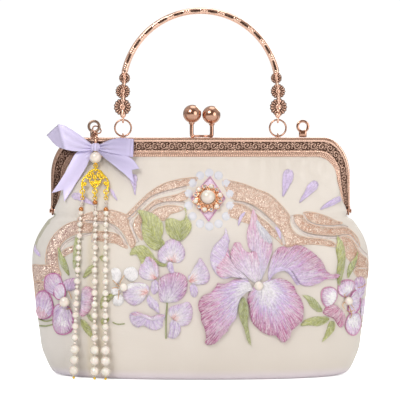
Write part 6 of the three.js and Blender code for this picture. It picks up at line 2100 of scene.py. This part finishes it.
def stitchPetal(petal):
    outline = closedCurve(pairsOf(petal["outline"]), 150)
    root = np.array(petal["root"], float)
    base = stitchSet["layer"] * petal["layer"] * 0.5 + petal.get("raised", 0)
    puff = petal["puff"] * stitchSet["puff"]
    share = reachFrom(root, outline)
    pad, padFlat = padShape(outline, puff, base)
    card = petal["threads"]
    leafy, smooth = card.startswith("leaf"), card == "drop"
    padTint = threadColour(card, share(padFlat)) * 0.9
    length = stitchSet["length"] * (1.5 if smooth else 0.75 if leafy else 1)
    pitch = 1 / math.sqrt(stitchSet["density"] * (1.5 if leafy or smooth else 1))
    seeds = lattice(outline, pitch, 0.45)
    away = seeds - root
    direction = unit(away)
    tip = outline[np.argmax(np.linalg.norm(outline - root, axis=1))]
    axis = unit(tip - root)
    if leafy:
        side = np.sign(axis[0] * away[:, 1] - axis[1] * away[:, 0])
        turn = side * 0.5
        direction = np.stack([axis[0] * np.cos(turn) - axis[1] * np.sin(turn),
                              axis[0] * np.sin(turn) + axis[1] * np.cos(turn)], -1)
    elif smooth:
        direction = unit(axis[None] + 0.4 * direction)
    else:
        direction = unit(direction + 0.07 * dice.normal(size=direction.shape))
    reach = length * dice.uniform(0.75, 1.2, len(seeds))
    steps = np.linspace(-0.5, 0.5, 9)
    tries = seeds[:, None] + direction[:, None] * (reach[:, None] * steps)[..., None]
    within = insideOutline(tries.reshape(-1, 2), outline).reshape(len(seeds), 9)
    backward = np.argmin(within[:, 4::-1], axis=1)
    forward = np.argmin(within[:, 4:], axis=1)
    backward = np.where(within[:, 4::-1].all(1), 4, np.maximum(backward - 1, 0))
    forward = np.where(within[:, 4:].all(1), 4, np.maximum(forward - 1, 0))
    start, end = -backward * 0.125, forward * 0.125
    kept = (end - start) > 0.2
    seeds, direction, reach, start, end = (v[kept] for v in (seeds, direction, reach, start, end))
    stations = 4
    way = np.linspace(0, 1, stations)
    at = (start[:, None] + (end - start)[:, None] * way[None]) * reach[:, None]
    flat = seeds[:, None] + direction[:, None] * at[..., None]
    every = flat.reshape(-1, 2)
    edge = edgeDistance(every, outline).reshape(flat.shape[:2])
    lift = base + puffHeight(edge, puff) + stitchSet["lift"]
    lift += dice.uniform(0, 0.3, len(flat))[:, None] + stitchSet["arch"] * np.sin(way * math.pi)
    low = 0.66 if leafy else 0.92 if card == "white" else 0.82
    tone = dice.uniform(low, 1.16, len(flat))[:, None, None]
    fray = dice.normal(0, 0.07, len(flat))[:, None]
    level = np.clip(share(every).reshape(flat.shape[:2]) + fray, 0, 1)
    colours = threadColour(card, level.ravel()).reshape(*flat.shape[:2], 3) * tone
    # painted sheen: single threads, chosen at random, are paled towards white as if they caught the light
    pale = stitchSet["fade"] * dice.uniform(0, 1, len(flat))[:, None, None]
    pale = pale * (0.5 if leafy or smooth else 1)
    colours = colours * (1 - pale) + 0.96 * pale
    points, faces, tints = ribbonStitches(flat, stitchSet["width"], lift, colours)
    parts = [((pad[0], pad[1]), padTint), ((points, faces), tints)]
    if leafy and petal["puff"] >= 0.8:
        vein = curveThrough([root + (tip - root) * 0.05, root + (tip - root) * 0.5,
                             root + (tip - root) * 0.93], 24)
        vein = vein[insideOutline(vein, outline)]
        if len(vein) > 4:
            veinEdge = edgeDistance(vein, outline)
            line = onCloth(vein, base + puffHeight(veinEdge, puff) + 0.4)
            shape = tube(line, 0.4, 6, (0, 1, 0))
            parts.append((shape, np.tile(threadColour("leafDark", np.array([0.5])), (len(shape[0]), 1))))
    if petal.get("edging"):
        parts.append(edgeStitches(outline, petal["edging"], base + 0.25))
    return parts


def edgeStitches(outline, card, lift):
    # short satin stitches laid side by side over the petal's rim
    ring = evenly(np.vstack([outline, outline[:1]]), int(len(outline) * 1.6))[:-1]
    along = unit(np.roll(ring, -1, 0) - np.roll(ring, 1, 0))
    across = np.stack([-along[:, 1], along[:, 0]], -1)
    slant = unit(across + 0.35 * along)
    way = np.linspace(-0.55, 0.55, 3)
    flat = ring[:, None] + slant[:, None] * way[None, :, None]
    lifts = np.full(flat.shape[:2], lift) + np.array([0, 0.22, 0])
    tone = dice.uniform(0.9, 1.08, len(flat))[:, None, None]
    colours = threadColour(card, dice.uniform(0, 1, flat.shape[:2]).ravel()).reshape(*flat.shape[:2], 3)
    points, faces, tints = ribbonStitches(flat, 0.55, lifts, colours * tone)
    return (points, faces), tints


def joinTinted(parts):
    shape = merged(*[part[0] for part in parts])
    return shape, np.concatenate([part[1] for part in parts])


groups = {"orchid": [], "sprig": [], "leaf": [], "white": [], "left": [], "right": [], "drop": [],
          "slip": []}
for petal in petals:
    group = next(key for key in groups if petal["name"].startswith(key))
    groups[group] += stitchPetal(petal)
for key, parts in groups.items():
    shape, tints = joinTinted(parts)
    addMesh("stitched" + key.title(), shape, silkSheen, tints=tints)
print("petals and leaves stitched")

cloudSet = {"lift": 0.5, "cord": 0.55, "twist": 1.1}


def twistedCord(line, wire, sides=8):
    length = np.concatenate([[0], np.cumsum(np.linalg.norm(np.diff(line, axis=0), axis=1))])
    turn = np.linspace(0, 2 * math.pi, sides, endpoint=False)
    ply = 0.16 * wire * np.cos(2 * turn[None] - 2 * math.pi * length[:, None] / cloudSet["twist"])
    return tube(line, wire, sides, (0, 1, 0), ply)


def makeClouds():
    bands, bandTints, cords, cordTints = [], [], [], []
    for numbers in clouds:
        outline = closedCurve(pairsOf(numbers), 170)
        pad = padShape(outline, cloudSet["lift"], 0.05, 1.5, 0.5)[0]
        bands.append(pad)
        # the bands are warmer and darker towards the right, and carry painted shade towards the left
        ground = np.tile([0.6, 0.385, 0.285], (len(pad[0]), 1))
        ground *= 1 - np.outer(smoothStep(58, 72, pad[0][:, 0]), [0.06, 0.16, 0.24])
        ground *= 1 - np.outer(smoothStep(-74, -90, pad[0][:, 0]), [0.3, 0.36, 0.26])
        bandTints.append(ground)
        ring = np.vstack([outline, outline[:1]])
        length = np.linalg.norm(np.diff(ring, axis=0), axis=1).sum()
        ring = evenly(ring, int(length / 0.42))
        cord = twistedCord(onCloth(ring, 0.4), cloudSet["cord"])
        cords.append(cord)
        cordTints.append(np.tile(dye(230, 200, 178), (len(cord[0]), 1)))
    addMesh("cloudBands", merged(*bands), glitterCloth, tints=np.concatenate(bandTints))
    addMesh("cloudCords", merged(*cords), silkSheen, tints=np.concatenate(cordTints))
    silver, silverTints = [], []
    for channel in channelLines:
        route = curveThrough(pairsOf(channel["route"]), 90)
        line = onCloth(route, 0.3)
        cord = tube(line, channel["width"] * 1.35, 12, (0, 1, 0), flat=0.3)
        rise = cord[0][:-2, 2].reshape(len(line), 12) - line[:, 2:3]
        # the band above throws its shade on the upper side
        shade = smoothStep(-0.1, 0.6, rise.ravel() / channel["width"])[:, None]
        tone = dye(224, 214, 208) * (1 - shade) + dye(160, 144, 136) * shade
        silver.append(cord)
        silverTints.append(np.vstack([tone, tone[:1], tone[-1:]]))
    addMesh("silverChannels", merged(*silver), silkSheen, tints=np.concatenate(silverTints))
    drawn, tints = [], []
    for line in stitchedLines:
        route = curveThrough(pairsOf(line["route"]), 50)
        cord = twistedCord(onCloth(route, 1.7 if line["threads"] == "gold" else 0.35), line["width"])
        drawn.append(cord)
        tints.append(threadColour(line["threads"], np.linspace(0, 1, len(cord[0]))))
    addMesh("stitchedLines", merged(*drawn), silkSheen, tints=np.concatenate(tints))


makeClouds()

# Round the brooch: a lilac lozenge with a corded rim, and a ring of raised satin dots
surroundSet = {
    "lozenge": [6.7, 135.9, 16.9, 121.0, 5.6, 105.3, -6.5, 121.1], "middle": (6.1, 120.2),
    "radii": (14.7, 18.4), "dots": 14, "dot": 6.1, "rise": 1.0,
}


def satinDot(flatCentre, turn):
    rings, around = 10, 40
    share = np.linspace(0.02, 1, rings)
    angle = np.linspace(0, 2 * math.pi, around, endpoint=False)
    r, a = np.meshgrid(share, angle, indexing="ij")
    radius = surroundSet["dot"] / 2
    x, z = radius * r * np.cos(a), radius * r * np.sin(a)
    ridges = 0.05 * np.cos((x * math.cos(turn) + z * math.sin(turn)) * 2 * math.pi / 0.55)
    lift = surroundSet["rise"] * np.sqrt(np.clip(1 - r ** 2.4, 0, 1)) + ridges - 0.15
    flat = np.stack([flatCentre[0] + x, flatCentre[1] + z], -1).reshape(-1, 2)
    faces = gridFaces(rings, around, wrapColumns=True)
    faces.append(list(range(around))[::-1])
    return onCloth(flat, lift.ravel()), faces


def makeSurround():
    lozenge = pairsOf(surroundSet["lozenge"])
    rim = np.vstack([evenly(np.array([lozenge[i], lozenge[(i + 1) % 4]]), 40)[:-1] for i in range(4)])
    pad = padShape(rim, 0.5, 0.05, 1.4, 0.6)[0]
    cord = twistedCord(onCloth(np.vstack([rim, rim[:1]]), 0.5), 0.6)
    tints = np.concatenate([threadColour("satinPink", np.full(len(pad[0]), 0.5)),
                            threadColour("satinRim", np.full(len(cord[0]), 0.2))])
    addMesh("lozenge", merged(pad, cord), silkSheen, tints=tints)
    dots = []
    for i in range(surroundSet["dots"]):
        turn = math.pi / 2 + 2 * math.pi * i / surroundSet["dots"]
        centre = (surroundSet["middle"][0] + surroundSet["radii"][0] * math.cos(turn),
                  surroundSet["middle"][1] + surroundSet["radii"][1] * math.sin(turn))
        dots.append(satinDot(centre, turn))
    addMesh("satinDots", merged(*dots), satinDots)


makeSurround()
print("clouds and brooch surround made")

# Studio: pale floor, soft lights, pale surroundings
studioSet = {
    "sky": 0.64,
    "lights": [
        {"name": "key", "place": (-0.55, -0.9, 0.95), "size": 0.7, "power": 6.2},
        {"name": "fill", "place": (0.8, -0.85, 0.36), "size": 0.8, "power": 3.7},
        {"name": "top", "place": (0.1, 0.15, 1.1), "size": 0.7, "power": 2.2},
        {"name": "spark", "place": (-0.4, -1.0, 0.85), "size": 0.12, "power": 1.2},
        {"name": "rim", "place": (0.45, 0.8, 0.6), "size": 0.5, "power": 2.5},
    ],
}


def makeStudio():
    world = bpy.data.worlds.new("studio")
    world.use_nodes = True
    tree = Tree(world.node_tree)
    place = tree.add("TexCoord").outputs["Generated"]
    parts = tree.add("SeparateXYZ", {0: place})
    ramp = tree.add("ValToRGB", {0: tree.ramp(parts.outputs[2], -1.0, 1.0)})
    dusk = tree.mix(tree.ramp(parts.outputs[1], -0.2, -0.6, 0.0, 0.84), ramp.outputs[0],
                    (0.3, 0.17, 0.1, 1))
    stops = ramp.color_ramp.elements
    stops[0].color = (0.85, 0.85, 0.85, 1)
    stops[1].color = (1, 1, 1, 1)
    for place, value in ((0.47, 0.85), (0.52, 0.6), (0.6, 0.7), (0.72, 1.0)):
        stop = stops.new(place)
        stop.color = (value, value, value, 1)
    ground = tree.nodes["Background"]
    seen = tree.add("LightPath").outputs["Is Camera Ray"]
    tree.link(tree.mix(seen, dusk, (1, 1, 1, 1)), ground.inputs[0])
    strength = tree.maths("MULTIPLY", seen, 1.05 - studioSet["sky"])
    tree.link(tree.maths("ADD", strength, studioSet["sky"]), ground.inputs[1])
    bpy.context.scene.world = world
    middle = Vector((0, 0, 0.12))
    for light in studioSet["lights"]:
        lamp = bpy.data.lights.new(light["name"], "AREA")
        lamp.shape = "DISK"
        lamp.size = light["size"]
        lamp.energy = light["power"]
        holder = bpy.data.objects.new(light["name"], lamp)
        holder.location = light["place"]
        aim = middle - Vector(light["place"])
        holder.rotation_euler = aim.to_track_quat("-Z", "Y").to_euler()
        bpy.context.scene.collection.objects.link(holder)
    material, tree, shader = newMaterial("paleFloor", **{"Base Color": (0.9, 0.9, 0.9, 1),
                                                         "Roughness": 0.9})
    grain = groupIn(tree, "grain", Scale=60.0)
    tree.link(tree.mix(tree.ramp(grain.outputs[0], 0.3, 0.7, 0.0, 0.2), (0.93, 0.93, 0.93, 1),
                       (0.9, 0.9, 0.9, 1)), shader.inputs["Base Color"])
    seen = tree.add("LightPath").outputs["Is Camera Ray"]
    shader.inputs["Emission Color"].default_value = (1, 1, 1, 1)
    tree.link(tree.maths("MULTIPLY", seen, 0.62), shader.inputs["Emission Strength"])
    floor = bpy.data.meshes.new("floor")
    reach = 6.0
    floor.from_pydata([(-reach, -reach, -0.0002), (reach, -reach, -0.0002), (reach, reach, -0.0002),
                       (-reach, reach, -0.0002)], [], [(0, 1, 2, 3)])
    floor.materials.append(material)
    board = bpy.data.objects.new("floor", floor)
    bpy.context.scene.collection.objects.link(board)
    scene = bpy.context.scene
    scene.view_settings.view_transform = "Standard"
    scene.view_settings.exposure = 0.0


makeStudio()
print("studio made")
